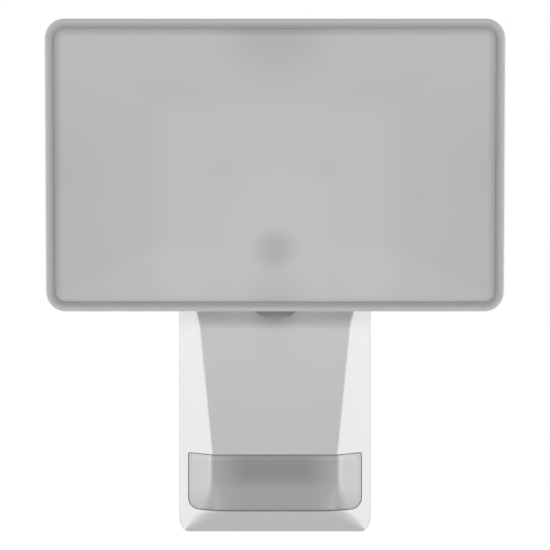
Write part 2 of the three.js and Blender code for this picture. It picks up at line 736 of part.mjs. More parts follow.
function neckArm() {
  const eye = acrossRod(EYE_RADIUS, -ARM_WIDTH / 2, ARM_WIDTH / 2, PIVOT_DEPTH, PIVOT_HEIGHT, 20);
  const low = PIVOT_HEIGHT - ARM_HEIGHT / 2;
  const high = PIVOT_HEIGHT + ARM_HEIGHT / 2;
  const beam = block(-ARM_WIDTH / 2, ARM_WIDTH / 2, NECK_FLANGE_BACK, PIVOT_DEPTH - 2, low, high);
  const reach = neckScrewPlaces()[1] + 3.4;
  const plate = rectangle(-reach, reach, PIVOT_HEIGHT - 7, PIVOT_HEIGHT + 7, 2);
  const flange = slab(outline(plate), NECK_FLANGE_BACK, NECK_FLANGE_BACK + NECK_FLANGE);
  let arm = join(beam, eye, flange);
  neckScrewPlaces().forEach((x) => {
    arm = cut(arm, depthRod(PAN_SHANK + GAP, NECK_FLANGE_BACK - 1, NECK_SEAL_BACK, x, PIVOT_HEIGHT));
  });
  return cut(
    arm,
    acrossRod(TILT_SHANK + GAP, -ARM_WIDTH, ARM_WIDTH, PIVOT_DEPTH, PIVOT_HEIGHT, 20),
    depthRod(LEAD_RADIUS + GAP, NECK_FLANGE_BACK - 1, PIVOT_DEPTH - EYE_RADIUS, 0, PIVOT_HEIGHT),
  );
}

function neckSeal() {
  const reach = ARM_WIDTH / 2 + 1.4;
  const corners = rectangle(-reach, reach, PIVOT_HEIGHT - 5, PIVOT_HEIGHT + 5, 1);
  const sheet = slab(outline(corners), NECK_SEAL_BACK, NECK_SEAL_BACK + NECK_SEAL);
  return cut(sheet, armHole(NECK_SEAL_BACK - 1, PIVOT_DEPTH));
}

function neckScrew(x) {
  const near = NECK_FLANGE_BACK - GAP - SCREW_HEAD_HEIGHT;
  return screw("forwards", x, near, PIVOT_HEIGHT, PAN_SHANK, 2.4, SCREW_HEAD_HEIGHT, 7.5);
}

function supplyLead() {
  const start = BRACKET_THICKNESS + GAP + 4;
  const end = DRIVER_DEPTH - GAP;
  const points = [
    [TERMINAL_PITCH, start, TERMINAL_HIGH + GAP],
    [TERMINAL_PITCH, start, TERMINAL_HIGH + 8],
    [SUPPLY_LEAD_X - 2, start + 3, SUPPLY_LEAD_HEIGHT - 2],
    [SUPPLY_LEAD_X, COVER_DEPTH - 2, SUPPLY_LEAD_HEIGHT],
    [SUPPLY_LEAD_X, end, SUPPLY_LEAD_HEIGHT],
  ];
  return tubeAlong(points, LEAD_RADIUS);
}

function leadInBase() {
  const points = [
    [6, PARTS_DEPTH, DRIVER_TOP - 6],
    [6, PARTS_DEPTH + 6, DRIVER_TOP - 5.5],
    [1, NECK_FLANGE_BACK - 8, PIVOT_HEIGHT - 1],
    [0, NECK_FLANGE_BACK - 1, PIVOT_HEIGHT],
    [0, NECK_FLANGE_BACK + 8, PIVOT_HEIGHT],
    [0, PIVOT_DEPTH - EYE_RADIUS - 1, PIVOT_HEIGHT],
  ];
  return tubeAlong(points, LEAD_RADIUS);
}

function sensorBoard() {
  const half = SENSOR_WIDTH / 2;
  const corners = rectangle(-half, half, SENSOR_LOW, SENSOR_HIGH, 1);
  return slab(outline(corners), SENSOR_DEPTH, SENSOR_DEPTH + BOARD);
}

function motionSensor() {
  const profile = [
    [0, 0],
    [4.9, 0],
    [4.9, 0.6],
    [4.3, 0.6],
    [4.3, 4],
    [3.9, 4.3],
    [0, 4.3],
  ];
  return latheAlongDepth(profile, 0, SENSOR_DEPTH + BOARD + GAP, (SENSOR_LOW + SENSOR_HIGH) / 2, 24);
}

// ---- Knuckle, in axes that start at the pivot ---------------------------------------------------
// What the arm sweeps as the ball tilts, in the ball's own (depth, height) plane.
function armSweep(clearance) {
  const half = ARM_HEIGHT / 2 + clearance;
  const reach = 2 * BALL_RADIUS;
  const upper = TILT_UP - REST_TILT + 1.5;
  const lower = -(TILT_DOWN + REST_TILT + 1.5);
  const far = (degrees, offset) => {
    const angle = degrees * DEGREE;
    const back = [-Math.cos(angle), Math.sin(angle)];
    return [
      back[0] * reach + Math.sin(angle) * offset,
      back[1] * reach + Math.cos(angle) * offset,
    ];
  };
  const start = (degrees, offset) => {
    const angle = degrees * DEGREE;
    return [Math.sin(angle) * offset, Math.cos(angle) * offset];
  };
  return [
    start(upper, half),
    far(upper, half),
    far((upper + lower) / 2, 0),
    far(lower, -half),
    start(lower, -half),
  ];
}

function knuckleBall() {
  const slot = ARM_WIDTH / 2 + 2 * GAP + WASHER + 0.1;
  const flats = block(-BALL_RADIUS, BALL_RADIUS, -BALL_RADIUS, BALL_RADIUS, -BALL_FLAT, BALL_FLAT);
  const sweep = crossBar(outline(armSweep(0.4)), -slot, slot);
  const headSeat = BALL_RADIUS - BALL_SEAT;
  return cut(
    common(ball(BALL_RADIUS), flats),
    sweep,
    acrossRod(EYE_RADIUS + 0.5, -slot, slot, 0, 0, 20),
    acrossRod(TILT_SHANK + GAP, -2 * BALL_RADIUS, 2 * BALL_RADIUS, 0, 0),
    acrossRod(4.3 + GAP, headSeat, 2 * BALL_RADIUS, 0, 0),
    acrossRod(4.3 + GAP, -2 * BALL_RADIUS, -headSeat, 0, 0),
    uprightRod(PAN_SHANK + GAP, BALL_FLAT - 2.4, BALL_RADIUS, 0, 0),
    uprightRod(PAN_SHANK + GAP, -BALL_RADIUS, -BALL_FLAT + 2.4, 0, 0),
  );
}

function frictionWasher(side) {
  const low = side * (ARM_WIDTH / 2 + GAP);
  const high = low + side * WASHER;
  const left = Math.min(low, high);
  const right = Math.max(low, high);
  const disc = acrossRod(EYE_RADIUS - 0.5, left, right, 0, 0, 20);
  return cut(disc, acrossRod(TILT_SHANK + GAP, left - 1, right + 1, 0, 0, 20));
}

function tiltScrew() {
  const length = 2 * TILT_HEAD + 2 * 2.2;
  return screw("left", TILT_HEAD + 2.2, 0, 0, TILT_SHANK, 4.2, 2.2, length);
}

function tiltNut() {
  const nut = acrossRod(4.2, -TILT_HEAD - 2, -TILT_HEAD, 0, 0, 6);
  return cut(nut, acrossRod(TILT_SHANK + GAP, -BALL_RADIUS - 1, 0, 0, 0));
}

// ---- Lamp head, in axes that start at the pivot -------------------------------------------------
function headYoke() {
  const corners = rectangle(-YOKE_PLATE_HALF, YOKE_PLATE_HALF, 14, YOKE_PLATE_HIGH, 4);
  const plate = slab(outline(corners), YOKE_BACK, YOKE_FRONT);
  const web = block(-9.5, 9.5, YOKE_BACK, YOKE_FRONT, -BALL_RADIUS, 16);
  const backEdge = -4.5;
  const upperEar = upright(
    outline([
      [-6, backEdge, 4],
      [6, backEdge, 4],
      [9.5, 6, 2],
      [9.5, YOKE_FRONT],
      [-9.5, YOKE_FRONT],
      [-9.5, 6, 2],
    ]),
    EAR_INNER,
    EAR_OUTER,
  );
  const lowerPlan = upright(
    outline([
      [-5, -3, 3],
      [5, -3, 3],
      [9.5, 4, 2],
      [9.5, YOKE_FRONT],
      [-9.5, YOKE_FRONT],
      [-9.5, 4, 2],
    ]),
    -BALL_RADIUS,
    -EAR_INNER,
  );
  const lowerSide = crossBar(
    outline([
      [-6, -BALL_RADIUS],
      [4, -BALL_RADIUS],
      [YOKE_FRONT, -BALL_RADIUS + 2],
      [YOKE_FRONT, -EAR_INNER],
      [-6, -EAR_INNER],
    ]),
    -10,
    10,
  );
  const disc = depthRod(BALL_RADIUS, -8, YOKE_FRONT + 1, 0, 0, 48);
  const lowerEar = common(lowerPlan, lowerSide, disc);
  const lowerWeb = common(web, depthRod(BALL_RADIUS - 0.9, YOKE_BACK - 1, YOKE_FRONT + 1, 0, 0, 48));
  let yoke = join(plate, common(web, block(-10, 10, 0, 20, 0, 20)), lowerWeb, upperEar, lowerEar);
  [-1, 1].forEach((side) => {
    const x = side * YOKE_SCREW_X;
    yoke = cut(yoke, depthRod(SCREW + GAP, YOKE_BACK - 1, YOKE_FRONT + 1, x, YOKE_SCREW_HEIGHT));
  });
  return cut(
    yoke,
    uprightRod(PAN_SHANK + GAP, EAR_INNER - 1, EAR_OUTER + 1, 0, 0),
    uprightRod(PAN_SHANK + GAP, -EAR_OUTER - 1, -EAR_INNER + 1, 0, 0),
    uprightRod(2.4 + GAP, -BALL_RADIUS - 1, -BALL_RADIUS + 1.2, 0, 0),
    depthRod(GLAND_RADIUS + GAP, YOKE_BACK - 1, YOKE_FRONT + 1, 0, GLAND_HEIGHT),
  );
}

// The pan pins turn in the ears and are pressed into the ball.
function panPin(side) {
  const head = 1;
  const tip = BALL_FLAT - 2;
  if (side > 0) {
    const seat = EAR_OUTER + GAP + head;
    return screw("down", 0, 0, seat, PAN_SHANK, 2.4, head, seat - tip);
  }
  return screw("up", 0, 0, -BALL_RADIUS, PAN_SHANK, 2.4, 0.9, BALL_RADIUS - tip);
}

function yokeScrew(side) {
  const near = YOKE_BACK - GAP - SCREW_HEAD_HEIGHT;
  const length = HEAD_INSIDE + 1.5 - near;
  const x = side * YOKE_SCREW_X;
  return screw("forwards", x, near, YOKE_SCREW_HEIGHT, SCREW, SCREW_HEAD, SCREW_HEAD_HEIGHT, length);
}

function headCorners() {
  return rectangle(-HALF_HEAD, HALF_HEAD, HEAD_LOW, HEAD_HIGH, HEAD_CORNER);
}

function postPlaces() {
  const x = HALF_HEAD - POST_INSET;
  const low = HEAD_LOW + POST_INSET;
  const high = HEAD_HIGH - POST_INSET;
  return [
    [-x, low],
    [x, low],
    [-x, high],
    [x, high],
  ];
}

function headHousing() {
  const body = roundedSlab(headCorners(), HEAD_BACK, HEAD_FRONT, HEAD_ROUND);
  const pocket = slab(outline(headCorners(), HEAD_RIM), HEAD_INSIDE, HEAD_FRONT + 1);
  let housing = cut(body, pocket);
  const ledgeFront = LEDGE_BACK + LEDGE_THICK;
  const ledge = frameSlab(headCorners(), HEAD_RIM - 1, HEAD_RIM + LEDGE_WIDTH, LEDGE_BACK, ledgeFront);
  housing = join(housing, ledge);
  postPlaces().forEach(([x, z]) => {
    housing = join(housing, depthRod(4.5, HEAD_BACK + 1, HEAD_INSIDE + 2.5, x, z));
  });
  [-1, 1].forEach((side) => {
    const x = side * YOKE_SCREW_X;
    housing = join(housing, depthRod(3.8, HEAD_BACK + 1, HEAD_INSIDE + 2.8, x, YOKE_SCREW_HEIGHT));
    housing = cut(housing, depthRod(SCREW + GAP, HEAD_BACK - 1, HEAD_INSIDE + 2, x, YOKE_SCREW_HEIGHT));
  });
  postPlaces().forEach(([x, z]) => {
    housing = cut(
      housing,
      depthRod(SCREW_HEAD + GAP, HEAD_BACK - 1, HEAD_BACK + SCREW_HEAD_HEIGHT + 0.5, x, z),
      depthRod(SCREW + GAP, HEAD_BACK - 1, HEAD_FRONT, x, z),
      depthRod(3.2 + GAP, HEAD_INSIDE + 2.5, HEAD_FRONT + 1, x, z),
    );
  });
  return cut(
    housing,
    depthRod(VENT_RADIUS - 1 + GAP, HEAD_BACK - 1, HEAD_INSIDE + 1, VENT_X, VENT_HEIGHT),
    depthRod(GLAND_RADIUS + GAP, HEAD_BACK - 1, HEAD_INSIDE + 1, 0, GLAND_HEIGHT),
  );
}

function frontCover() {
  const inset = HEAD_RIM + HEAD_GROOVE;
  const left = -HALF_HEAD + inset;
  const corners = rectangle(left, -left, HEAD_LOW + inset, HEAD_HIGH - inset, HEAD_CORNER - inset);
  let cover = roundedSlab(corners, COVER_BACK, COVER_FACE, COVER_ROUND);
  postPlaces().forEach(([x, z]) => {
    cover = join(cover, depthRod(3.2, HEAD_INSIDE + 2.5 + GAP, COVER_BACK + 2, x, z));
    cover = cut(cover, depthRod(SCREW + GAP, HEAD_BACK, HEAD_INSIDE + 12, x, z));
  });
  return cover;
}

function coverSeal() {
  const inner = HEAD_RIM + LEDGE_WIDTH - GAP;
  let ring = frameSlab(headCorners(), HEAD_RIM + GAP, inner, SEAL_BACK, SEAL_BACK + SEAL_THICK);
  postPlaces().forEach(([x, z]) => {
    ring = cut(ring, depthRod(3.2 + GAP, SEAL_BACK - 1, SEAL_BACK + SEAL_THICK + 1, x, z));
  });
  return ring;
}

// A shallow pyramid from the floor's rectangle to the mouth's, thinned by inset, open forwards.
function trayForm(inset, back, front) {
  const mouth = HEAD_RIM + LEDGE_WIDTH + GAP;
  const halfMouth = HALF_HEAD - mouth;
  const plan = [
    [-FLOOR_HALF_WIDTH + inset, back],
    [FLOOR_HALF_WIDTH - inset, back],
    [halfMouth - inset, front],
    [-halfMouth + inset, front],
  ];
  const side = [
    [back, FLOOR_LOW + inset],
    [front, HEAD_LOW + mouth + inset],
    [front, HEAD_HIGH - mouth - inset],
    [back, FLOOR_HIGH - inset],
  ];
  return common(
    upright(outline(plan), HEAD_LOW, HEAD_HIGH),
    crossBar(outline(side), -HALF_HEAD, HALF_HEAD),
  );
}

function ledPlaces() {
  const places = [];
  const pitchX = (2 * FLOOR_HALF_WIDTH - 14) / (LED_COLUMNS - 1);
  const low = FLOOR_LOW + 14;
  const pitchZ = (FLOOR_HIGH - 8 - low) / (LED_ROWS - 1);
  for (let column = 0; column < LED_COLUMNS; column += 1) {
    for (let row = 0; row < LED_ROWS; row += 1) {
      places.push([-FLOOR_HALF_WIDTH + 7 + column * pitchX, low + row * pitchZ]);
    }
  }
  return places;
}

function reflector() {
  const outer = trayForm(0, REFLECTOR_BACK, REFLECTOR_FRONT);
  const inner = trayForm(REFLECTOR_WALL, REFLECTOR_BACK + REFLECTOR_WALL, REFLECTOR_FRONT + REFLECTOR_WALL);
  let tray = cut(outer, inner);
  const half = LED_SIZE / 2 + 0.6;
  const near = REFLECTOR_BACK - 1;
  const far = REFLECTOR_BACK + REFLECTOR_WALL + 1;
  ledPlaces().forEach(([x, z]) => {
    tray = cut(tray, block(x - half, x + half, near, far, z - half, z + half));
  });
  postPlaces().forEach(([x, z]) => {
    tray = cut(tray, depthRod(3.2 + 3 * GAP, HEAD_INSIDE, HEAD_FRONT, x, z));
  });
  reflectorScrewPlaces().forEach(([x, z]) => {
    tray = cut(tray, depthRod(SCREW + GAP, near, far, x, z));
  });
  return tray;
}

function reflectorScrewPlaces() {
  const height = (FLOOR_LOW + FLOOR_HIGH) / 2 + 3;
  return [
    [-22.3, height],
    [22.3, height],
  ];
}

function ledBoard() {
  const half = FLOOR_HALF_WIDTH - 2;
  const corners = rectangle(-half, half, FLOOR_LOW + 9, FLOOR_HIGH - 2, 1.5);
  let board = slab(outline(corners), LED_BACK, LED_BACK + BOARD);
  const size = LED_SIZE / 2;
  ledPlaces().forEach(([x, z]) => {
    const chip = block(x - size, x + size, LED_BACK + BOARD - 0.3, LED_BACK + BOARD + 1.2, z - size, z + size);
    board = join(board, chip);
  });
  reflectorScrewPlaces().forEach(([x, z]) => {
    board = cut(board, depthRod(SCREW + GAP, LED_BACK - 1, LED_BACK + BOARD + 1, x, z));
  });
  return board;
}

function heatSpreader() {
  const half = FLOOR_HALF_WIDTH + 6;
  const corners = rectangle(-half, half, FLOOR_LOW + 9, FLOOR_HIGH + 4, 3);
  let plate = slab(outline(corners), SPREADER_BACK, SPREADER_BACK + SPREADER_THICK);
  reflectorScrewPlaces().forEach(([x, z]) => {
    plate = cut(plate, depthRod(SCREW + GAP, SPREADER_BACK - 1, LED_BACK, x, z));
  });
  return plate;
}

function reflectorScrew(x, z) {
  const face = REFLECTOR_BACK + REFLECTOR_WALL + GAP + SCREW_HEAD_HEIGHT;
  return screw("backwards", x, face, z, SCREW, SCREW_HEAD, SCREW_HEAD_HEIGHT, face - SPREADER_BACK + 1);
}

function coverScrew(x, z) {
  const near = HEAD_BACK + 0.2;
  return screw("forwards", x, near, z, SCREW, SCREW_HEAD, SCREW_HEAD_HEIGHT, HEAD_INSIDE + 10 - near);
}

function ventPlug() {
  const profile = [
    [0, -1.5],
    [VENT_RADIUS - 1, -1.5],
    [VENT_RADIUS, -1],
    [VENT_RADIUS, -GAP],
    [VENT_RADIUS - 1, -GAP],
    [VENT_RADIUS - 1, WALL + 0.8],
    [0, WALL + 0.8],
  ];
  return latheAlongDepth(profile, VENT_X, HEAD_BACK, VENT_HEIGHT);
}

function headGland() {
  const near = YOKE_BACK - 3.5;
  const profile = [
    [LEAD_RADIUS + GAP, 0],
    [GLAND_RADIUS - 1, 0],
    [GLAND_RADIUS + 1.2, 1.2],
    [GLAND_RADIUS + 1.2, 3.5 - GAP],
    [GLAND_RADIUS, 3.5 - GAP],
    [GLAND_RADIUS, HEAD_INSIDE + 1.5 - near],
    [LEAD_RADIUS + GAP, HEAD_INSIDE + 1.5 - near],
    [LEAD_RADIUS + GAP, 0],
  ];
  return latheAlongDepth(profile, 0, near, GLAND_HEIGHT);
}

function leadInHead() {
  const inside = HEAD_INSIDE + 5;
  const points = [
    [0, YOKE_BACK - 3.5, GLAND_HEIGHT],
    [0, YOKE_BACK + 2, GLAND_HEIGHT],
    [0, HEAD_INSIDE + 1.8, GLAND_HEIGHT],
    [2, inside, GLAND_HEIGHT + 0.3],
    [12, LEAD_RUN, GLAND_HEIGHT + 2],
    [22, LEAD_RUN, FLOOR_LOW + 9 - LEAD_RADIUS - 2 * GAP],
  ];
  return tubeAlong(points, LEAD_RADIUS);
}

// ---- Assembly -----------------------------------------------------------------------------------
const floodlight = new THREE.Group();

function buildBase() {
  const base = new THREE.Group();
  base.add(named("wall_bracket", nylon, wallBracket()));
  base.add(named("cable_grommet", greyRubber, cableGrommet()));
  base.add(named("terminal_block", boardWhite, terminalBlock()));
  base.add(named("supply_lead", leadSheath, supplyLead()));
  base.add(named("rear_cover", whitePlastic, rearCover()));
  base.add(named("rear_seal", greyRubber, rearSeal()));
  coverScrewPlaces().forEach(([x, z], index) => {
    const near = COVER_DEPTH - GAP - SCREW_HEAD_HEIGHT;
    const solid = screw("forwards", x, near, z, SCREW, SCREW_HEAD, SCREW_HEAD_HEIGHT, 12);
    base.add(named(`rear_cover_screw_${index + 1}`, zincSteel, solid));
  });
  base.add(named("base_housing", whitePlastic, baseHousing()));
  ["left", "right"].forEach((word, index) => {
    const side = index === 0 ? -1 : 1;
    const start = side * (HALF_BASE - 0.2);
    const inwards = index === 0 ? "right" : "left";
    const place = [inwards, start, SIDE_SCREW_DEPTH, SIDE_SCREW_HEIGHT];
    const solid = screw(...place, SCREW, SCREW_HEAD, SCREW_HEAD_HEIGHT - 0.5, 9);
    base.add(named(`housing_screw_${word}`, zincSteel, solid));
  });
  return base;
}

function buildSensor() {
  const sensor = new THREE.Group();
  sensor.add(named("sensor_lens", milkyLens, sensorLens()));
  sensor.add(named("lens_seal", greyRubber, lensSeal()));
  sensor.add(named("sensor_board", boardGreen, sensorBoard()));
  sensor.add(named("motion_sensor", zincSteel, motionSensor()));
  const eyeBack = SENSOR_DEPTH + BOARD + GAP;
  const lightEye = depthRod(1.5, eyeBack, eyeBack + 2.7, 11, SENSOR_HIGH - 4, 12);
  sensor.add(named("light_sensor", blackPlastic, lightEye));
  sensor.add(named("dial_board", boardGreen, dialBoard()));
  const names = ["time", "light", "range"];
  dialPlaces().forEach((x, index) => {
    sensor.add(named(`${names[index]}_pot`, blackPlastic, dialPot(x)));
    const knob = named(`${names[index]}_dial`, whitePlastic, dial());
    knob.position.x = x;
    sensor.add(knob);
  });
  return sensor;
}

function buildDriver() {
  const driver = new THREE.Group();
  driver.add(named("driver_board", boardGreen, driverBoard()));
  driver.add(named("transformer", yellowTape, transformer()));
  driver.add(named("capacitor", blackPlastic, capacitor(5, 18, 6, 12)));
  driver.add(named("choke", greyRubber, choke()));
  driver.add(named("relay", blackPlastic, block(-24, -6, PARTS_DEPTH, PARTS_DEPTH + 13, -12, -2)));
  driver.add(named("lead_in_base", leadSheath, leadInBase()));
  return driver;
}

function buildNeck() {
  const neck = new THREE.Group();
  neck.add(named("neck_arm", castAluminium, neckArm()));
  neck.add(named("neck_seal", greyRubber, neckSeal()));
  neckScrewPlaces().forEach((x, index) => {
    neck.add(named(`neck_screw_${index + 1}`, zincSteel, neckScrew(x)));
  });
  return neck;
}

function buildKnuckle() {
  const knuckle = new THREE.Group();
  knuckle.add(named("knuckle_ball", whitePlastic, knuckleBall()));
  knuckle.add(named("tilt_screw", zincSteel, tiltScrew()));
  knuckle.add(named("tilt_nut", zincSteel, tiltNut()));
  knuckle.add(named("friction_washer_left", nylon, frictionWasher(-1)));
  knuckle.add(named("friction_washer_right", nylon, frictionWasher(1)));
  return knuckle;
}

function buildHead() {
  const head = new THREE.Group();
  head.add(named("head_yoke", castAluminium, headYoke()));
  head.add(named("pan_pin_upper", zincSteel, panPin(1)));
  head.add(named("pan_pin_lower", zincSteel, panPin(-1)));
  head.add(named("yoke_screw_1", zincSteel, yokeScrew(-1)));
  head.add(named("yoke_screw_2", zincSteel, yokeScrew(1)));
  head.add(named("head_housing", whitePlastic, headHousing()));
  head.add(named("vent_plug", greyRubber, ventPlug()));
  head.add(named("head_gland", greyRubber, headGland()));
  head.add(named("lead_in_head", leadSheath, leadInHead()));
  head.add(named("heat_spreader", plainAluminium, heatSpreader()));
  head.add(named("led_board", boardWhite, ledBoard()));
  head.add(named("reflector", whitePlastic, reflector()));
  reflectorScrewPlaces().forEach(([x, z], index) => {
    head.add(named(`reflector_screw_${index + 1}`, zincSteel, reflectorScrew(x, z)));
  });
  head.add(named("cover_seal", greyRubber, coverSeal()));
  head.add(named("front_cover", opalPlastic, frontCover()));
  postPlaces().forEach(([x, z], index) => {
    head.add(named(`cover_screw_${index + 1}`, zincSteel, coverScrew(x, z)));
  });
  return head;
}

floodlight.add(buildBase(), buildSensor(), buildDriver(), buildNeck());
const onPivot = new THREE.Group();
onPivot.position.set(0, -PIVOT_DEPTH, PIVOT_HEIGHT);
onPivot.rotation.x = REST_TILT * DEGREE;
onPivot.add(buildKnuckle(), buildHead());
floodlight.add(onPivot);

export default floodlight;
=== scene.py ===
# %% [markdown]
# # A wall floodlight with a motion sensor
# The light is a wide opal lamp head on a ball knuckle, over a tapered base that holds the sensor.
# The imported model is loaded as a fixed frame. Fine shells are then made around its coarse solids,
# each finish is built from nodes, and each new piece rides on the body that it belongs to.

# %% Load the frame
import json
import math

import bmesh
import bpy
from mathutils import Matrix, Vector


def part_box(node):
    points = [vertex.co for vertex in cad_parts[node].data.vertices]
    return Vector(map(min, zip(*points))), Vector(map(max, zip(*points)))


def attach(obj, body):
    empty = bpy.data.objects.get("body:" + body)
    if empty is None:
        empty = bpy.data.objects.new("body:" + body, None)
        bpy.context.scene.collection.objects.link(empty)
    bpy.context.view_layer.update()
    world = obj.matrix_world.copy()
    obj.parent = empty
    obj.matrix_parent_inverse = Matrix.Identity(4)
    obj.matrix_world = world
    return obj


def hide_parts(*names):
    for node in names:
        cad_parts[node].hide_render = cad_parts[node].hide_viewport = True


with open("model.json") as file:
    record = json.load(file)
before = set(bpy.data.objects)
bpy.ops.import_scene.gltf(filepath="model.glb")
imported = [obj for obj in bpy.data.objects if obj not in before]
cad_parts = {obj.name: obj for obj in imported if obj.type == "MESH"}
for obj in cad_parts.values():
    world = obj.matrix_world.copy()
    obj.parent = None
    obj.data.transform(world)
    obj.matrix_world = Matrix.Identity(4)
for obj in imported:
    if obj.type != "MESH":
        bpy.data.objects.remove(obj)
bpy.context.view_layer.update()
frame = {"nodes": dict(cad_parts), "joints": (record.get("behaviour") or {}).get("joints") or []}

MM = 0.001
scene = bpy.context.scene

# %% [markdown]
# ## Two sets of axes
# The base is measured from the wall: x, depth from the wall and height. The lamp head is measured
# from the pivot, in axes that lean forward with it. Both helpers return points in metres in the
# frame's own axes, where depth runs along -Y. The pivot and the lean are read from the joints.

# %% Axes
joints = {joint["name"]: joint for joint in frame["joints"]}
PIVOT = Vector(joints["head_tilt"]["pos_m"])
HEAD_UP = Vector(joints["head_pan"]["axis"])
HEAD_FORWARD = Vector((1, 0, 0)).cross(HEAD_UP)


def wall_point(x, depth, height):
    return Vector((x, -depth, height)) * MM


def head_point(x, forward, up):
    return PIVOT + (Vector((x, 0, 0)) + HEAD_FORWARD * forward + HEAD_UP * up) * MM


def head_box(node):
    """Lowest and highest x, forward and up of a node, in millimetres from the pivot."""
    arms = [v.co - PIVOT for v in frame["nodes"][node].data.vertices]
    local = [(p.x / MM, p.dot(HEAD_FORWARD) / MM, p.dot(HEAD_UP) / MM) for p in arms]
    return [min(c) for c in zip(*local)], [max(c) for c in zip(*local)]


def wall_box(node):
    """Lowest and highest x, depth and height of a node, in millimetres from the wall."""
    low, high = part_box(node)
    return (low.x / MM, -high.y / MM, low.z / MM), (high.x / MM, -low.y / MM, high.z / MM)


print("pivot", [round(c / MM, 1) for c in PIVOT], "forward", [round(c, 3) for c in HEAD_FORWARD])

# %% [markdown]
# ## The camera
# A product shot of a wall light is taken level and straight on from about a metre away. That shows
# a slight keystone in the leaning head. The camera comes first, so that everything is judged in it.

# %% Camera
EYE_HEIGHT = 60
EYE_DISTANCE = 1112
LENS_MM = 158.5

camera_data = bpy.data.cameras.new("camera")
camera_data.lens = LENS_MM
camera_data.sensor_width = 36
camera = bpy.data.objects.new("camera", camera_data)
camera.location = wall_point(0, EYE_DISTANCE, EYE_HEIGHT)
camera.rotation_euler = (math.radians(90), 0, 0)
scene.collection.objects.link(camera)
scene.camera = camera

# %% [markdown]
# ## Shared finishes as node groups
# A group with named inputs is built once and placed in several materials with its own values. Each
# group puts out only values that vary over the surface. The shader itself stays in the material.

# %% Node helpers
def new_group(name, inputs, outputs):
    group = bpy.data.node_groups.new(name, "ShaderNodeTree")
    for label, kind, value in inputs:
        socket = group.interface.new_socket(label, in_out="INPUT", socket_type=kind)
        socket.default_value = value
    for label, kind in outputs:
        group.interface.new_socket(label, in_out="OUTPUT", socket_type=kind)
    ends = group.nodes.new("NodeGroupInput"), group.nodes.new("NodeGroupOutput")
    return group, ends[0], ends[1]


def feed(tree, socket, value):
    """Plugs in another socket, or sets a plain number, vector or colour."""
    if isinstance(value, bpy.types.NodeSocket):
        tree.links.new(value, socket)
    else:
        socket.default_value = value


def maths(tree, operation, *values):
    node = tree.nodes.new("ShaderNodeMath")
    node.operation = operation
    for socket, value in zip(node.inputs, values):
        feed(tree, socket, value)
    return node.outputs[0]


def vector_maths(tree, operation, *values):
    node = tree.nodes.new("ShaderNodeVectorMath")
    node.operation = operation
    for socket, value in zip(node.inputs, values):
        feed(tree, socket, value)
    return node.outputs["Value" if operation in ("DOT_PRODUCT", "LENGTH") else "Vector"]


def smooth_step(tree, value, start, end, low=0.0, high=1.0):
    node = tree.nodes.new("ShaderNodeMapRange")
    node.interpolation_type = "SMOOTHSTEP"
    for label, number in (("From Min", start), ("From Max", end), ("To Min", low), ("To Max", high)):
        feed(tree, node.inputs[label], number)
    feed(tree, node.inputs["Value"], value)
    return node.outputs["Result"]


def noise(tree, vector, scale, detail=2.0):
    node = tree.nodes.new("ShaderNodeTexNoise")
    node.inputs["Detail"].default_value = detail
    feed(tree, node.inputs["Vector"], vector)
    feed(tree, node.inputs["Scale"], scale)
    return node.outputs["Fac"]


def object_point(tree):
    return tree.nodes.new("ShaderNodeTexCoord").outputs["Object"]


def place_group(tree, group, **values):
    node = tree.nodes.new("ShaderNodeGroup")
    node.node_tree = group
    for label, value in values.items():
        feed(tree, node.inputs[label.replace("_", " ")], value)
    return node.outputs


def grey(value):
    return (value, value, value, 1.0)


# %% Moulded grain: the fine spark-eroded texture and slow unevenness of a plastic moulding
FLOAT = "NodeSocketFloat"
VECTOR = "NodeSocketVector"

grain_group, ends_in, ends_out = new_group(
    "Moulded grain",
    [("Grain", FLOAT, 2600.0), ("Waviness", FLOAT, 30.0), ("Amount", FLOAT, 0.03)],
    [("Tone", FLOAT), ("Height", FLOAT)],
)
point = object_point(grain_group)
fine = noise(grain_group, point, ends_in.outputs["Grain"], 3.0)
slow = noise(grain_group, point, ends_in.outputs["Waviness"], 1.0)
halves = [maths(grain_group, "MULTIPLY", value, 0.5) for value in (fine, slow)]
mixed = maths(grain_group, "ADD", *halves)
swing = maths(grain_group, "MULTIPLY", maths(grain_group, "SUBTRACT", mixed, 0.5), ends_in.outputs["Amount"])
feed(grain_group, ends_out.inputs["Tone"], maths(grain_group, "ADD", 1.0, swing))
feed(grain_group, ends_out.inputs["Height"], fine)

# %% Soft spot: a round patch that fades out, for painted shadows and light patches on a milky wall
spot_group, ends_in, ends_out = new_group(
    "Soft spot",
    [("Vector", VECTOR, (0, 0, 0)), ("Centre", VECTOR, (0, 0, 0)), ("Radius", FLOAT, 0.01)],
    [("Mask", FLOAT)],
)
arm = vector_maths(spot_group, "SUBTRACT", ends_in.outputs["Vector"], ends_in.outputs["Centre"])
share = maths(spot_group, "DIVIDE", vector_maths(spot_group, "LENGTH", arm), ends_in.outputs["Radius"])
feed(spot_group, ends_out.inputs["Mask"], smooth_step(spot_group, share, 1.0, 0.1))

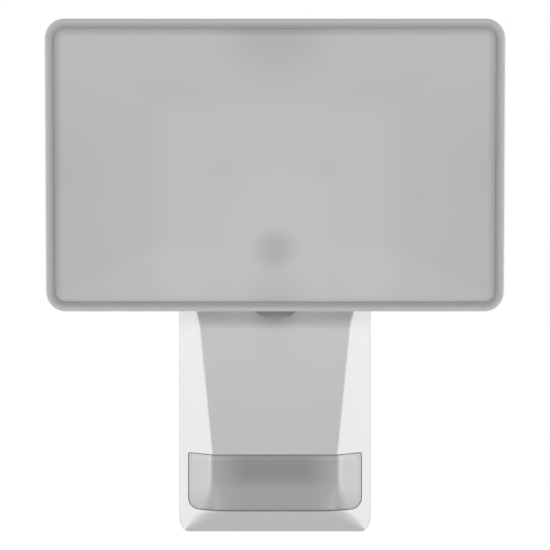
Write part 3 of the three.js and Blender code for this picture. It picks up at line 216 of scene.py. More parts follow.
# %% Brushed zinc: fine scratches and mottled plating
zinc_group, ends_in, ends_out = new_group(
    "Brushed zinc",
    [("Scale", FLOAT, 900.0), ("Roughness", FLOAT, 0.3)],
    [("Tone", FLOAT), ("Roughness", FLOAT), ("Height", FLOAT)],
)
point = object_point(zinc_group)
drawn = vector_maths(zinc_group, "MULTIPLY", point, (1.0, 6.0, 1.0))
scratch = noise(zinc_group, drawn, ends_in.outputs["Scale"], 3.0)
mottle = noise(zinc_group, point, 260.0, 2.0)
feed(zinc_group, ends_out.inputs["Tone"], smooth_step(zinc_group, mottle, 0.3, 0.7, 0.85, 1.1))
feed(zinc_group, ends_out.inputs["Roughness"], maths(zinc_group, "MULTIPLY", ends_in.outputs["Roughness"],
                                                     smooth_step(zinc_group, scratch, 0.2, 0.8, 0.7, 1.4)))
feed(zinc_group, ends_out.inputs["Height"], scratch)
print("node groups:", [g.name for g in bpy.data.node_groups])

# %% [markdown]
# ## The finishes
# Every finish is a Principled shader whose uniform numbers sit on its own sockets. Colour and bump
# come from the groups above. White parts differ mainly in their gloss and in their grain.

# %% Material helpers
def new_material(name, **sockets):
    material = bpy.data.materials.new(name)
    material.use_nodes = True
    shader = material.node_tree.nodes["Principled BSDF"]
    for label, value in sockets.items():
        shader.inputs[label.replace("_", " ")].default_value = value
    return material, material.node_tree, shader


def toned(tree, colour, tone):
    """A colour multiplied by a varying tone."""
    node = tree.nodes.new("ShaderNodeVectorMath")
    node.operation = "SCALE"
    feed(tree, node.inputs[0], colour[:3])
    feed(tree, node.inputs["Scale"], tone)
    return node.outputs["Vector"]


def add_bump(tree, shader, height, strength, distance):
    bump = tree.nodes.new("ShaderNodeBump")
    bump.inputs["Strength"].default_value = strength
    bump.inputs["Distance"].default_value = distance * MM
    feed(tree, bump.inputs["Height"], height)
    feed(tree, shader.inputs["Normal"], bump.outputs["Normal"])


def moulded(name, colour, roughness, grain=2600.0, amount=0.03, bump=0.25, coat=0.0):
    material, tree, shader = new_material(name, Roughness=roughness, Coat_Weight=coat)
    outputs = place_group(tree, grain_group, Grain=grain, Amount=amount)
    feed(tree, shader.inputs["Base Color"], toned(tree, colour, outputs["Tone"]))
    add_bump(tree, shader, outputs["Height"], bump, 0.02)
    return material


def metal(name, colour, roughness, scale=900.0):
    material, tree, shader = new_material(name, Metallic=1.0)
    outputs = place_group(tree, zinc_group, Scale=scale, Roughness=roughness)
    feed(tree, shader.inputs["Base Color"], toned(tree, colour, outputs["Tone"]))
    feed(tree, shader.inputs["Roughness"], outputs["Roughness"])
    add_bump(tree, shader, outputs["Height"], 0.3, 0.02)
    return material


# %% Plain finishes
white_plastic = moulded("white_plastic", grey(0.86), 0.42)
gloss_white = moulded("reflector_white", grey(0.93), 0.16, grain=900.0, amount=0.02, bump=0.05, coat=0.5)
grey_rubber = moulded("grey_rubber", grey(0.045), 0.75, grain=1500.0, amount=0.3, bump=0.5)
black_plastic = moulded("black_plastic", grey(0.018), 0.5, amount=0.2)
nylon = moulded("nylon", (0.62, 0.61, 0.57, 1), 0.5, grain=700.0, amount=0.08)
terminal_white = moulded("terminal_white", (0.74, 0.74, 0.7, 1), 0.4)
sheath = moulded("lead_sheath", grey(0.7), 0.45, grain=1200.0)
ferrite = moulded("ferrite", grey(0.05), 0.6, grain=500.0, amount=0.4, bump=0.6)
tape = moulded("winding_tape", (0.7, 0.45, 0.05, 1), 0.3, grain=300.0, amount=0.15)
zinc = metal("zinc_steel", (0.6, 0.61, 0.62, 1), 0.3)
aluminium = metal("plain_aluminium", (0.72, 0.73, 0.74, 1), 0.35, scale=500.0)
cast_aluminium = moulded("cast_aluminium", (0.5, 0.5, 0.51, 1), 0.45, grain=800.0, amount=0.06, bump=0.6)
led_white = moulded("led_board_white", (0.8, 0.8, 0.77, 1), 0.3)


def board_material():
    """Green solder mask with the paler copper tracks showing through."""
    material, tree, shader = new_material("circuit_board", Roughness=0.35, Coat_Weight=0.4)
    brick = tree.nodes.new("ShaderNodeTexBrick")
    feed(tree, brick.inputs["Vector"], object_point(tree))
    brick.inputs["Scale"].default_value = 210.0
    brick.inputs["Mortar Size"].default_value = 0.06
    brick.inputs["Color1"].default_value = (0.010, 0.085, 0.035, 1)
    brick.inputs["Color2"].default_value = (0.014, 0.105, 0.045, 1)
    brick.inputs["Mortar"].default_value = (0.03, 0.2, 0.08, 1)
    feed(tree, shader.inputs["Base Color"], brick.outputs["Color"])
    add_bump(tree, shader, brick.outputs["Fac"], 0.4, 0.05)
    return material


circuit_board = board_material()

# %% [markdown]
# ## The opal cover's finish
# The cover is milky. Light and shade are painted into its colour: the tray behind it as four faint
# sloping sides round a flat floor, each side lighter or darker by how light falls on it, soft painted
# shadows where screws and the cable entry sit, lighter and darker painted patches, and painted shade
# at the groove. The pattern is worked out in the head's own axes from the surface point, so it stays
# put when the head turns.

# %% Head places
housing_low, housing_high = head_box("head_housing")
tray_low, tray_high = head_box("reflector")
floor_low, floor_high = head_box("led_board")
FLOOR_HALF = floor_high[0] + 2
FLOOR_BOTTOM = floor_low[2] - 9
FLOOR_TOP = floor_high[2] + 2
OPAL_TONE = 0.85


def along(tree, vector, direction):
    """How far a surface point lies from the pivot along one direction, in millimetres."""
    offset = vector_maths(tree, "SUBTRACT", vector, tuple(PIVOT))
    return maths(tree, "MULTIPLY", vector_maths(tree, "DOT_PRODUCT", offset, tuple(direction)), 1 / MM)


# %% Groove shade: the soft dark band that a narrow groove casts on both of its banks
HEAD_ROUND = 8.2
face_centre = head_point(0, 0, (housing_low[2] + housing_high[2]) / 2)
face_half = Vector((housing_high[0], (housing_high[2] - housing_low[2]) / 2))

GROOVE_INPUTS = [
    ("Across", FLOAT, 0.0), ("Up", FLOAT, 0.0), ("Half Width", FLOAT, 90.0), ("Half Height", FLOAT, 60.0),
    ("Round", FLOAT, 8.0), ("Near", FLOAT, 0.0), ("Far", FLOAT, 1.0), ("Darkest", FLOAT, 0.8),
]
groove_group, ends_in, ends_out = new_group("Groove shade", GROOVE_INPUTS, [("Tone", FLOAT)])
groove = ends_in.outputs
past = []
for place, half in (("Across", "Half Width"), ("Up", "Half Height")):
    size = maths(groove_group, "ABSOLUTE", groove[place])
    over = maths(groove_group, "SUBTRACT", size, groove[half])
    past.append(maths(groove_group, "ADD", over, groove["Round"]))
squares = [maths(groove_group, "POWER", maths(groove_group, "MAXIMUM", value, 0.0), 2.0) for value in past]
bend = maths(groove_group, "SQRT", maths(groove_group, "ADD", *squares))
straight = maths(groove_group, "MINIMUM", maths(groove_group, "MAXIMUM", *past), 0.0)
inset = maths(groove_group, "SUBTRACT", groove["Round"], maths(groove_group, "ADD", bend, straight))
feed(groove_group, ends_out.inputs["Tone"],
     smooth_step(groove_group, inset, groove["Near"], groove["Far"], groove["Darkest"], 1.0))


def head_groove(tree, **painted_shade_band):
    """The groove's shade on the head, by distance from the bead's outer edge."""
    offset = vector_maths(tree, "SUBTRACT", object_point(tree), tuple(face_centre))
    across = vector_maths(tree, "DOT_PRODUCT", offset, (1 / MM, 0, 0))
    up = vector_maths(tree, "DOT_PRODUCT", offset, tuple(HEAD_UP / MM))
    return place_group(tree, groove_group, Across=across, Up=up, Half_Width=face_half.x,
                       Half_Height=face_half.y, Round=HEAD_ROUND, **painted_shade_band)["Tone"]


def window_groove(tree, **painted_shade_band):
    """The same shade round the lens window."""
    parts = tree.nodes.new("ShaderNodeSeparateXYZ")
    feed(tree, parts.inputs[0], object_point(tree))
    across = maths(tree, "DIVIDE", parts.outputs["X"], MM)
    height = maths(tree, "DIVIDE", parts.outputs["Z"], MM)
    up = maths(tree, "SUBTRACT", height, (LENS_TOP + LENS_BOTTOM) / 2)
    return place_group(tree, groove_group, Across=across, Up=up, Half_Width=LENS_HALF,
                       Half_Height=(LENS_TOP - LENS_BOTTOM) / 2, Round=LENS_ROUND, **painted_shade_band)["Tone"]


def bead_material():
    """White plastic whose front bead falls off into the groove, with painted shade on the bead that darkens
    towards the groove. The back and sides stay plain.
    """
    material, tree, shader = new_material("head_white", Roughness=0.42)
    outputs = place_group(tree, grain_group, Grain=2600.0, Amount=0.03)
    # Painted shade on the front bead, darker into the groove, on the front only.
    painted_shade_band = head_groove(tree, Near=3.2, Far=0.5, Darkest=0.74)
    forward = along(tree, object_point(tree), HEAD_FORWARD)
    ahead = smooth_step(tree, forward, housing_high[1] - 4, housing_high[1] - 2.5)
    shade_tone = maths(tree, "MULTIPLY_ADD", maths(tree, "SUBTRACT", painted_shade_band, 1.0), ahead, 1.0)
    tone = maths(tree, "MULTIPLY", outputs["Tone"], shade_tone)
    feed(tree, shader.inputs["Base Color"], toned(tree, grey(0.86), tone))
    add_bump(tree, shader, outputs["Height"], 0.25, 0.02)
    return material


head_white = bead_material()

# %% Opal cover material
def opal_material():
    material, tree, shader = new_material("opal_cover", Roughness=0.38, Coat_Weight=0.15, Coat_Roughness=0.3)
    here = object_point(tree)
    across = maths(tree, "ABSOLUTE", along(tree, here, (1, 0, 0)))
    up = along(tree, here, HEAD_UP)
    to_side = maths(tree, "DIVIDE", maths(tree, "SUBTRACT", across, FLOOR_HALF), tray_high[0] - FLOOR_HALF)
    to_top = maths(tree, "DIVIDE", maths(tree, "SUBTRACT", up, FLOOR_TOP), tray_high[2] - FLOOR_TOP)
    to_foot = maths(tree, "DIVIDE", maths(tree, "SUBTRACT", FLOOR_BOTTOM, up), FLOOR_BOTTOM - tray_low[2])
    edge = 0.16

    def facet(own, *others):
        rival = maths(tree, "MAXIMUM", maths(tree, "MAXIMUM", others[0], others[1]), 0.0)
        return smooth_step(tree, maths(tree, "SUBTRACT", own, rival), -edge, edge)

    tone = OPAL_TONE
    # Painted shade and light on the tray's sides: the top and sides darker, the foot a touch lighter.
    painted_tray_shade = (
        (facet(to_side, to_top, to_foot), -0.03),
        (facet(to_top, to_side, to_foot), -0.036),
        (facet(to_foot, to_side, to_top), 0.006),
    )
    for mask, change in painted_tray_shade:
        tone = maths(tree, "MULTIPLY_ADD", mask, change, tone)
    face = housing_high[1]
    # Painted shadows and light: small dark spots where screws sit behind the cover, a strong dark spot over
    # the cable entry, lighter patches low down, and darker patches at the top, the bottom edge and the sides.
    spots = (
        (-22, 50, 8, -0.034), (22, 50, 8, -0.034), (0, 16.5, 12, -0.19),
        (-60, 66, 8, -0.012), (60, 66, 8, -0.012), (-60, 37, 8, -0.012), (60, 37, 8, -0.012),
        (-39, 7, 16, 0.045), (39, 7, 16, 0.045), (0, 4, 95, 0.075),
        (0, 112, 32, -0.13), (0, -6, 20, -0.08),
        (-92, 52, 30, -0.03), (92, 52, 30, -0.03),
    )
    for x, height, radius, change in spots:
        centre = tuple(head_point(x, face, height))
        mask = place_group(tree, spot_group, Vector=here, Centre=centre, Radius=radius * MM)["Mask"]
        tone = maths(tree, "MULTIPLY_ADD", mask, change, tone)
    # Painted shade on the cover's edge beside the groove.
    painted_groove_bank = head_groove(tree, Near=3.8, Far=5.5, Darkest=0.91)
    tone = maths(tree, "MULTIPLY", tone, painted_groove_bank)
    outputs = place_group(tree, grain_group, Grain=1800.0, Amount=0.02)
    tone = maths(tree, "MULTIPLY", tone, outputs["Tone"])
    colour = tree.nodes.new("ShaderNodeCombineColor")
    for socket in colour.inputs:
        feed(tree, socket, tone)
    feed(tree, shader.inputs["Base Color"], colour.outputs["Color"])
    add_bump(tree, shader, outputs["Height"], 0.12, 0.02)
    return material


opal_cover = opal_material()

# %% [markdown]
# ## The sensor lens's finish
# The lens is thin milky polyethylene with a grid of moulded facets inside. Light and shade are painted
# into its colour. The dark sensor box behind it is a painted soft shadow in the middle. The wrapped
# ends stay light, since more light falls on them, though they are painted a darker grey than the front
# to offset it. Painted shade lies at their lower ends and along the outline, and a lighter band is
# painted along the top edge.

# %% Sensor lens material
LENS_TOP = -18.2
LENS_BOTTOM = -42.2
LENS_HALF = 37.9
LENS_ROUND = 4.3
FACET_WIDTH = 4.6
FACET_HEIGHT = 6.0


def lens_material():
    material, tree, shader = new_material("milky_lens", Roughness=0.3, Coat_Weight=0.3, Coat_Roughness=0.2)
    here = object_point(tree)
    parts = tree.nodes.new("ShaderNodeSeparateXYZ")
    feed(tree, parts.inputs[0], here)
    across = maths(tree, "MULTIPLY", maths(tree, "ABSOLUTE", parts.outputs["X"]), 1 / MM)
    height = maths(tree, "MULTIPLY", parts.outputs["Z"], 1 / MM)
    # Painted shadow of the sensor box, strongest in the upper middle.
    wide = smooth_step(tree, across, 31.0, 11.0)
    upper = smooth_step(tree, height, LENS_TOP - 16, LENS_TOP - 8)
    shadow = maths(tree, "MULTIPLY", wide, maths(tree, "MULTIPLY_ADD", upper, 0.62, 0.38))
    # Painted shade: the wrapped ends get a darker grey than the front, to offset the stronger light on them.
    front = smooth_step(tree, across, 31.0, 24.0)
    tone = maths(tree, "MULTIPLY_ADD", front, 0.22, 0.47)
    tone = maths(tree, "MULTIPLY_ADD", shadow, -0.27, tone)
    # Painted light: a lighter band along the top edge.
    top_edge_light = smooth_step(tree, height, LENS_TOP - 2.6, LENS_TOP - 1.2)
    tone = maths(tree, "MULTIPLY_ADD", top_edge_light, 0.07, tone)
    # Painted shade at the lower ends.
    lower_end_shade = maths(tree, "MULTIPLY", smooth_step(tree, across, 24.0, 30.0),
                 smooth_step(tree, height, LENS_BOTTOM + 11, LENS_BOTTOM + 1))
    tone = maths(tree, "MULTIPLY_ADD", lower_end_shade, -0.09, tone)
    lines = 0.0
    for place, pitch in ((across, FACET_WIDTH), (height, FACET_HEIGHT)):
        phase = maths(tree, "PINGPONG", place, pitch / 2)
        lines = maths(tree, "ADD", lines, smooth_step(tree, phase, 0.35, 0.0))
    tone = maths(tree, "MULTIPLY_ADD", lines, -0.012, tone)
    # Painted shade along the outline.
    tone = maths(tree, "MULTIPLY", tone, window_groove(tree, Near=0.0, Far=1.4, Darkest=0.8))
    colour = tree.nodes.new("ShaderNodeCombineColor")
    for socket in colour.inputs:
        feed(tree, socket, tone)
    feed(tree, shader.inputs["Base Color"], colour.outputs["Color"])
    add_bump(tree, shader, lines, 0.25, 0.05)
    return material


milky_lens = lens_material()
print("materials:", len(bpy.data.materials))

# %% [markdown]
# ## Mesh helpers
# Most shells are lofts. A list of rings with the same number of points is joined into a skin and
# closed at both ends. A ring comes from a few corners, each with its own rounding radius.

# %% Rings and lofts
def rounded_ring(corners, steps=8):
    """Points round a closed outline. Corners are (u, v, radius), listed anticlockwise."""
    count = len(corners)
    spots = [Vector(c[:2]) for c in corners]
    ring = []
    for index, (_, _, radius) in enumerate(corners):
        here = spots[index]
        back = spots[index - 1] - here
        ahead = spots[(index + 1) % count] - here
        half_turn = max((math.pi - back.angle(ahead)) / 2, 1e-3)
        reach = min(radius * math.tan(half_turn), 0.46 * back.length, 0.46 * ahead.length)
        start = here + back.normalized() * reach
        end = here + ahead.normalized() * reach
        bend = reach / math.tan(half_turn)
        inwards = (back.normalized() + ahead.normalized()).normalized()
        centre = here + inwards * (bend / math.cos(half_turn))
        first = start - centre
        last = end - centre
        if first.length < 1e-6:
            ring += [here.copy() for _ in range(steps + 1)]
            continue
        total = first.angle_signed(last, 0.0)
        for step in range(steps + 1):
            turn = Matrix.Rotation(-total * step / steps, 2)
            ring.append(centre + turn @ first)
    return ring


def loft(rings):
    """A closed mesh through rings of points, with a face over each end."""
    mesh = bmesh.new()
    rows = [[mesh.verts.new(p) for p in ring] for ring in rings]
    count = len(rings[0])
    for low, high in zip(rows, rows[1:]):
        for index in range(count):
            after = (index + 1) % count
            mesh.faces.new((low[index], low[after], high[after], high[index]))
    mesh.faces.new(rows[0][::-1])
    mesh.faces.new(rows[-1])
    bmesh.ops.remove_doubles(mesh, verts=mesh.verts, dist=1e-7)
    bmesh.ops.recalc_face_normals(mesh, faces=mesh.faces)
    return mesh


def new_object(name, mesh):
    data = bpy.data.meshes.new(name)
    if isinstance(mesh, bmesh.types.BMesh):
        mesh.to_mesh(data)
        mesh.free()
    obj = bpy.data.objects.new(name, data)
    scene.collection.objects.link(obj)
    return obj


def apply_modifiers(obj):
    graph = bpy.context.evaluated_depsgraph_get()
    data = bpy.data.meshes.new_from_object(obj.evaluated_get(graph))
    obj.modifiers.clear()
    obj.data = data
    return obj


def carve(obj, tool, operation="DIFFERENCE"):
    """Cuts or keeps with another mesh, which is then removed."""
    modifier = obj.modifiers.new(operation.lower(), "BOOLEAN")
    modifier.operation = operation
    modifier.solver = "EXACT"
    modifier.object = tool
    apply_modifiers(obj)
    bpy.data.objects.remove(tool)
    return obj


def soften(obj, width, segments=3, angle=35):
    """Rounds the sharp edges, then leaves broad faces shaded flat."""
    bevel = obj.modifiers.new("soften", "BEVEL")
    bevel.width = width * MM
    bevel.segments = segments
    bevel.limit_method = "ANGLE"
    bevel.angle_limit = math.radians(angle)
    bevel.miter_outer = "MITER_ARC"
    apply_modifiers(obj)
    return shade(obj)


def shade(obj, angle=40):
    for polygon in obj.data.polygons:
        polygon.use_smooth = True
    obj.data.set_sharp_from_angle(angle=math.radians(angle))
    weigh = obj.modifiers.new("weigh", "WEIGHTED_NORMAL")
    weigh.keep_sharp = True
    apply_modifiers(obj)
    return obj


def finish_piece(obj, body, material, slot, *nodes):
    obj.data.materials.clear()
    obj.data.materials.append(material)
    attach(obj, body)
    if nodes:
        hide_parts(*nodes)
    print(obj.name, "on", body, len(obj.data.polygons), "faces")
    return obj


# %% Prisms and bars used as cutting tools
def prism(corners, near, far, to_point=wall_point, steps=8):
    """An outline in (x, height) between two depths."""
    ring = rounded_ring(corners, steps)
    return new_object("tool", loft([[to_point(p.x, depth, p.y) for p in ring] for depth in (near, far)]))


def rectangle(left, right, low, high, radius=0.0):
    return [(left, low, radius), (right, low, radius), (right, high, radius), (left, high, radius)]


def circle(radius, count=32):
    turns = [2 * math.pi * step / count for step in range(count)]
    return [(radius * math.cos(t), radius * math.sin(t)) for t in turns]


def depth_bar(radius, near, far, x, height, to_point=wall_point, count=32):
    rings = [[to_point(x + u, depth, height + v) for u, v in circle(radius, count)] for depth in (near, far)]
    return new_object("tool", loft(rings))


def upright_bar(radius, low, high, x, depth, to_point=wall_point, count=32):
    rings = [[to_point(x + u, depth + v, height) for u, v in circle(radius, count)] for height in (low, high)]
    return new_object("tool", loft(rings))


def cross_bar(radius, left, right, depth, height, to_point=wall_point, count=32):
    rings = [[to_point(x, depth + u, height + v) for u, v in circle(radius, count)] for x in (left, right)]
    return new_object("tool", loft(rings))


# %% [markdown]
# ## The base
# The base is a moulded shell with a leaning front panel and two upright chamfers. It is lofted from
# level slices, because every slice is the same six-sided outline with other sizes. The front's depth
# at each height comes from a side profile, and the chamfer stays in one plane, so the folds follow.

# %% Base sizes
base_low, base_high = wall_box("base_housing")
HALF_BASE = base_high[0]
BASE_REAR, BASE_FRONT = base_low[1], base_high[1]
BASE_BOTTOM, BASE_TOP = base_low[2], base_high[2]
CHAMFER_DEPTH = 41.0
CHAMFER_SLOPE = 1.35
FRONT_LEAN = 0.1405
CHIN_DEPTH = 43.0
SHELL = 2.5
WINDOW_GAP = 0.3
WINDOW_NEAR = 30.0
SHOULDER = 1.5
SHOULDER_LOW = 37
SHOULDER_RISE = 9
FOOT_ROUND = 5.5
TOP_ROUND = 9.0
CHIN_START = LENS_BOTTOM + 14
CHIN_REACH = 16


def front_profile():
    """Depth of the front at each height, as two lists with the height rising."""
    top_depth = BASE_FRONT - (BASE_TOP - LENS_TOP) * FRONT_LEAN
    corners = [
        (0, BASE_BOTTOM, 0),
        (CHIN_DEPTH, BASE_BOTTOM, 4),
        (BASE_FRONT, LENS_BOTTOM - 0.6, 2.5),
        (BASE_FRONT, LENS_TOP, 10),
        (top_depth, BASE_TOP, 7),
        (0, BASE_TOP, 0),
    ]
    ring = rounded_ring(corners, 10)[11:55]
    heights = [p.y for p in ring]
    depths = [p.x for p in ring]
    return heights, depths


PROFILE_HEIGHTS, PROFILE_DEPTHS = front_profile()


def between(value, places, results):
    """Straight-line reading of one list against another."""
    for index in range(1, len(places)):
        if value <= places[index] or index == len(places) - 1:
            span = max(places[index] - places[index - 1], 1e-9)
            share = min(max((value - places[index - 1]) / span, 0.0), 1.0)
            return results[index - 1] + share * (results[index] - results[index - 1])


def half_width(height):
    """Half the width in the front view, with a small round at the foot and a larger one on top."""
    for radius, distance in ((FOOT_ROUND, height - BASE_BOTTOM), (TOP_ROUND, BASE_TOP - height)):
        if distance < radius:
            return HALF_BASE - radius + math.sqrt(max(radius**2 - (radius - distance) ** 2, 0.0))
    return HALF_BASE


def ease(share):
    share = min(max(share, 0.0), 1.0)
    return share * share * (3 - 2 * share)


def shoulder_step(height):
    """How far the panel steps back just under the head."""
    return SHOULDER * ease((height - SHOULDER_LOW) / SHOULDER_RISE)


def base_slice(height, inset, rear, fold_round):
    """One level slice of the base. The folds are crisp beside the panel and swell out in the chin."""
    lean = math.hypot(1, CHAMFER_SLOPE)
    wide = half_width(height) - inset
    front = between(height, PROFILE_HEIGHTS, PROFILE_DEPTHS) - inset - shoulder_step(height)
    side_end = CHAMFER_DEPTH + CHAMFER_SLOPE * (HALF_BASE - wide) - lean * inset
    fold = HALF_BASE - (front - CHAMFER_DEPTH + lean * inset) / CHAMFER_SLOPE
    side_end = min(side_end, front - 0.4)
    fold = max(min(fold, wide - 0.3), 4.0)
    chin = ease((CHIN_START - height) / CHIN_REACH)
    fold_round += 16 * chin
    side_round = 3.0 + 8 * ease((LENS_BOTTOM - 0.6 - height) / 6)
    corners = [
        (wide, rear, 0), (wide, side_end, side_round), (fold, front, fold_round),
        (-fold, front, fold_round), (-wide, side_end, side_round), (-wide, rear, 0),
    ]
    ring = rounded_ring(corners, 7)
    return [wall_point(p.x, p.y, height) for p in ring]


def slice_heights(inset):
    heights = list(PROFILE_HEIGHTS)
    for step in range(11):
        turn = math.pi / 2 * step / 10
        heights.append(BASE_BOTTOM + FOOT_ROUND * (1 - math.cos(turn)))
        heights.append(BASE_TOP - TOP_ROUND * (1 - math.cos(turn)))
    heights += [LENS_TOP - 6 * step for step in range(4)]
    heights += [LENS_TOP + 8 * step for step in range(1, 7)]
    heights += [SHOULDER_LOW + step for step in range(SHOULDER_RISE + 1)]
    heights += [CHIN_START - step for step in range(21)]
    low, high = BASE_BOTTOM + inset, BASE_TOP - inset
    kept = sorted({round(min(max(h, low), high), 3) for h in heights})
    return [h for i, h in enumerate(kept) if i == 0 or h - kept[i - 1] > 0.04]


def base_solid(inset, rear, fold_round=1.6):
    rings = [base_slice(height, inset, rear, fold_round) for height in slice_heights(inset)]
    return new_object("tool", loft(rings))


def lens_window(margin):
    corners = rectangle(-LENS_HALF - margin, LENS_HALF + margin, LENS_BOTTOM - margin, LENS_TOP + margin)
    radii = (LENS_ROUND + margin, LENS_ROUND + margin, 0.8 + margin, 0.8 + margin)
    corners = [(u, v, r) for (u, v, _), r in zip(corners, radii)]
    return prism(corners, WINDOW_NEAR, BASE_FRONT + 6)


# %% Base housing
def screw_places(node_stem, numbers, box=wall_box):
    """Middle of each numbered screw, with the depth where its head starts."""
    places = []
    for number in numbers:
        low, high = box(f"{node_stem}_{number}")
        places.append(((low[0] + high[0]) / 2, low[1], (low[2] + high[2]) / 2))
    return places


def build_base_housing():
    shell = base_solid(0.0, BASE_REAR)
    shell.name = "base_housing_fine"
    carve(shell, base_solid(SHELL, BASE_REAR - 3))
    carve(shell, lens_window(WINDOW_GAP))
    dial_low, dial_high = wall_box("light_dial")
    pad_top = wall_box("light_pot")[0][2] - 0.3
    span = (wall_box("range_dial")[1][0] - wall_box("time_dial")[0][0]) / 2 + 4
    depth = (dial_low[1] + dial_high[1]) / 2
    pad = prism(rectangle(-span, span, BASE_BOTTOM + 1.2, pad_top), depth - 9, depth + 9)
    carve(shell, pad, "UNION")
    radius = (dial_high[0] - dial_low[0]) / 2
    for name in ("time_dial", "light_dial", "range_dial"):
        low, high = wall_box(name)
        x = (low[0] + high[0]) / 2
        carve(shell, upright_bar(radius + 0.4, BASE_BOTTOM - 2, dial_low[2] + 2.9, x, depth, count=48))
        carve(shell, upright_bar(2.3, BASE_BOTTOM - 2, pad_top + 2, x, depth))
    arm_low, arm_high = wall_box("neck_seal")
    arm_height = (arm_low[2] + arm_high[2]) / 2
    arm = rectangle(-4.3, 4.3, arm_height - 3.3, arm_height + 3.3, 0.6)
    carve(shell, prism(arm, 40, BASE_FRONT + 5))
    for side in ("left", "right"):
        low, high = wall_box(f"housing_screw_{side}")
        middle = ((low[1] + high[1]) / 2, (low[2] + high[2]) / 2)
        outer = max(abs(low[0]), abs(high[0]))
        sign = -1 if side == "left" else 1
        left, right = sorted((sign * (outer - 1.5), sign * (HALF_BASE + 3)))
        carve(shell, cross_bar(3.1, left, right, *middle))
    soften(shell, 0.5, segments=3, angle=55)
    return shell


base_housing = finish_piece(build_base_housing(), "base", white_plastic, "white_plastic", "base_housing")

# %% Sensor lens
def build_lens():
    lens = base_solid(0.04, BASE_REAR, fold_round=5.0)
    lens.name = "sensor_lens_fine"
    carve(lens, lens_window(0.0), "INTERSECT")
    carve(lens, base_solid(1.6, BASE_REAR - 3, fold_round=3.5))
    soften(lens, 0.5, segments=3, angle=30)
    return lens


sensor_lens = finish_piece(build_lens(), "base", milky_lens, "milky_lens", "sensor_lens")

# %% [markdown]
# ## The lamp head
# The housing is one profile swept round a rounded rectangle: up the side, over the bead, down into
# the narrow groove and along the inner wall. Each profile point is an inset from the outer edge and a
# distance forwards, so a ring at that inset is all that is needed.

# %% Head housing
FRONT_SET_BACK = 0.08
EDGE_SET_IN = 0.001
head_back, head_front = housing_low[1], housing_high[1] - FRONT_SET_BACK


def head_ring(inset, forward, steps=9):
    """A ring set in a trace, so that the shell stays inside its solid's box."""
    inset += EDGE_SET_IN
    corners = rectangle(
        housing_low[0] + inset, housing_high[0] - inset,
        housing_low[2] + inset, housing_high[2] - inset, max(HEAD_ROUND - inset, 0.6),
    )
    return [head_point(p.x, forward, p.y) for p in rounded_ring(corners, steps)]


def arc(centre, radius, start, end, steps):
    """Points of (inset, forward) on an arc, with angles in degrees."""
    turns = [math.radians(start + (end - start) * step / steps) for step in range(steps + 1)]
    return [(centre[0] + radius * math.cos(t), centre[1] + radius * math.sin(t)) for t in turns]


def build_head_housing():
    back_round, front_round, slope_round = 2.0, 0.9, 2.7
    profile = [(12.0, head_back), (back_round + 0.5, head_back)]
    profile += arc((back_round, head_back + back_round), back_round, 270, 180, 8)
    profile += [(0.0, head_back + 5), (0.0, head_front - 5)]
    profile += arc((front_round, head_front - front_round), front_round, 180, 90, 6)
    profile += arc((front_round, head_front - slope_round), slope_round, 84, 36, 8)
    profile += [(3.36, head_front - 1.45), (3.76, head_front - 1.6), (3.76, head_front - 3.5)]
    profile += [(3.4, head_front - 3.5), (3.4, head_back + 3)]
    profile += [(4.0, head_back + 2.5), (12.0, head_back + 2.5)]
    housing = new_object("head_housing_fine", loft([head_ring(*spot) for spot in profile]))
    for x, forward, height in screw_places("cover_screw", (1, 2, 3, 4), head_box):
        carve(housing, depth_bar(3.2, head_back - 2, head_back + 1.9, x, height, head_point))
    low, high = head_box("vent_plug")
    vent = ((low[0] + high[0]) / 2, (low[2] + high[2]) / 2)
    carve(housing, depth_bar(3.7, head_back - 2, head_back + 4, *vent, head_point))
    low, high = head_box("head_gland")
    carve(housing, depth_bar(4.2, head_back - 2, head_back + 4, 0, (low[2] + high[2]) / 2, head_point))
    return shade(housing, 50)


head_housing = finish_piece(build_head_housing(), "head", head_white, "white_plastic", "head_housing")

# %% Opal front cover: its edge swells up out of the groove like a cushion, then runs flat
def build_front_cover():
    edge = 3.82
    swell, rise = 3.2, 1.1
    face = head_front - 0.5
    profile = [(edge + 3, face - 4.4), (edge, face - 4.4), (edge, face - rise - 0.1)]
    for step in range(11):
        share = step / 10
        profile.append((edge + 0.08 + swell * share, face - rise * (1 - share) ** 2))
    profile += [(edge + 6, face), (edge + 14, face)]
    return shade(new_object("front_cover_fine", loft([head_ring(*spot) for spot in profile])), 60)


front_cover = finish_piece(build_front_cover(), "head", opal_cover, "opal_cover", "front_cover")

# %% [markdown]
# ## The knuckle
# A round ball with two flats turns between the ears of the head's yoke. The slot at its back lets it
# tilt over the arm. The arm keeps its solid's shape with rounded edges. So does the yoke, apart from
# its lower edge, which is cut and filled to a rounder arc.

# %% Ball
BALL_STEPS = 64


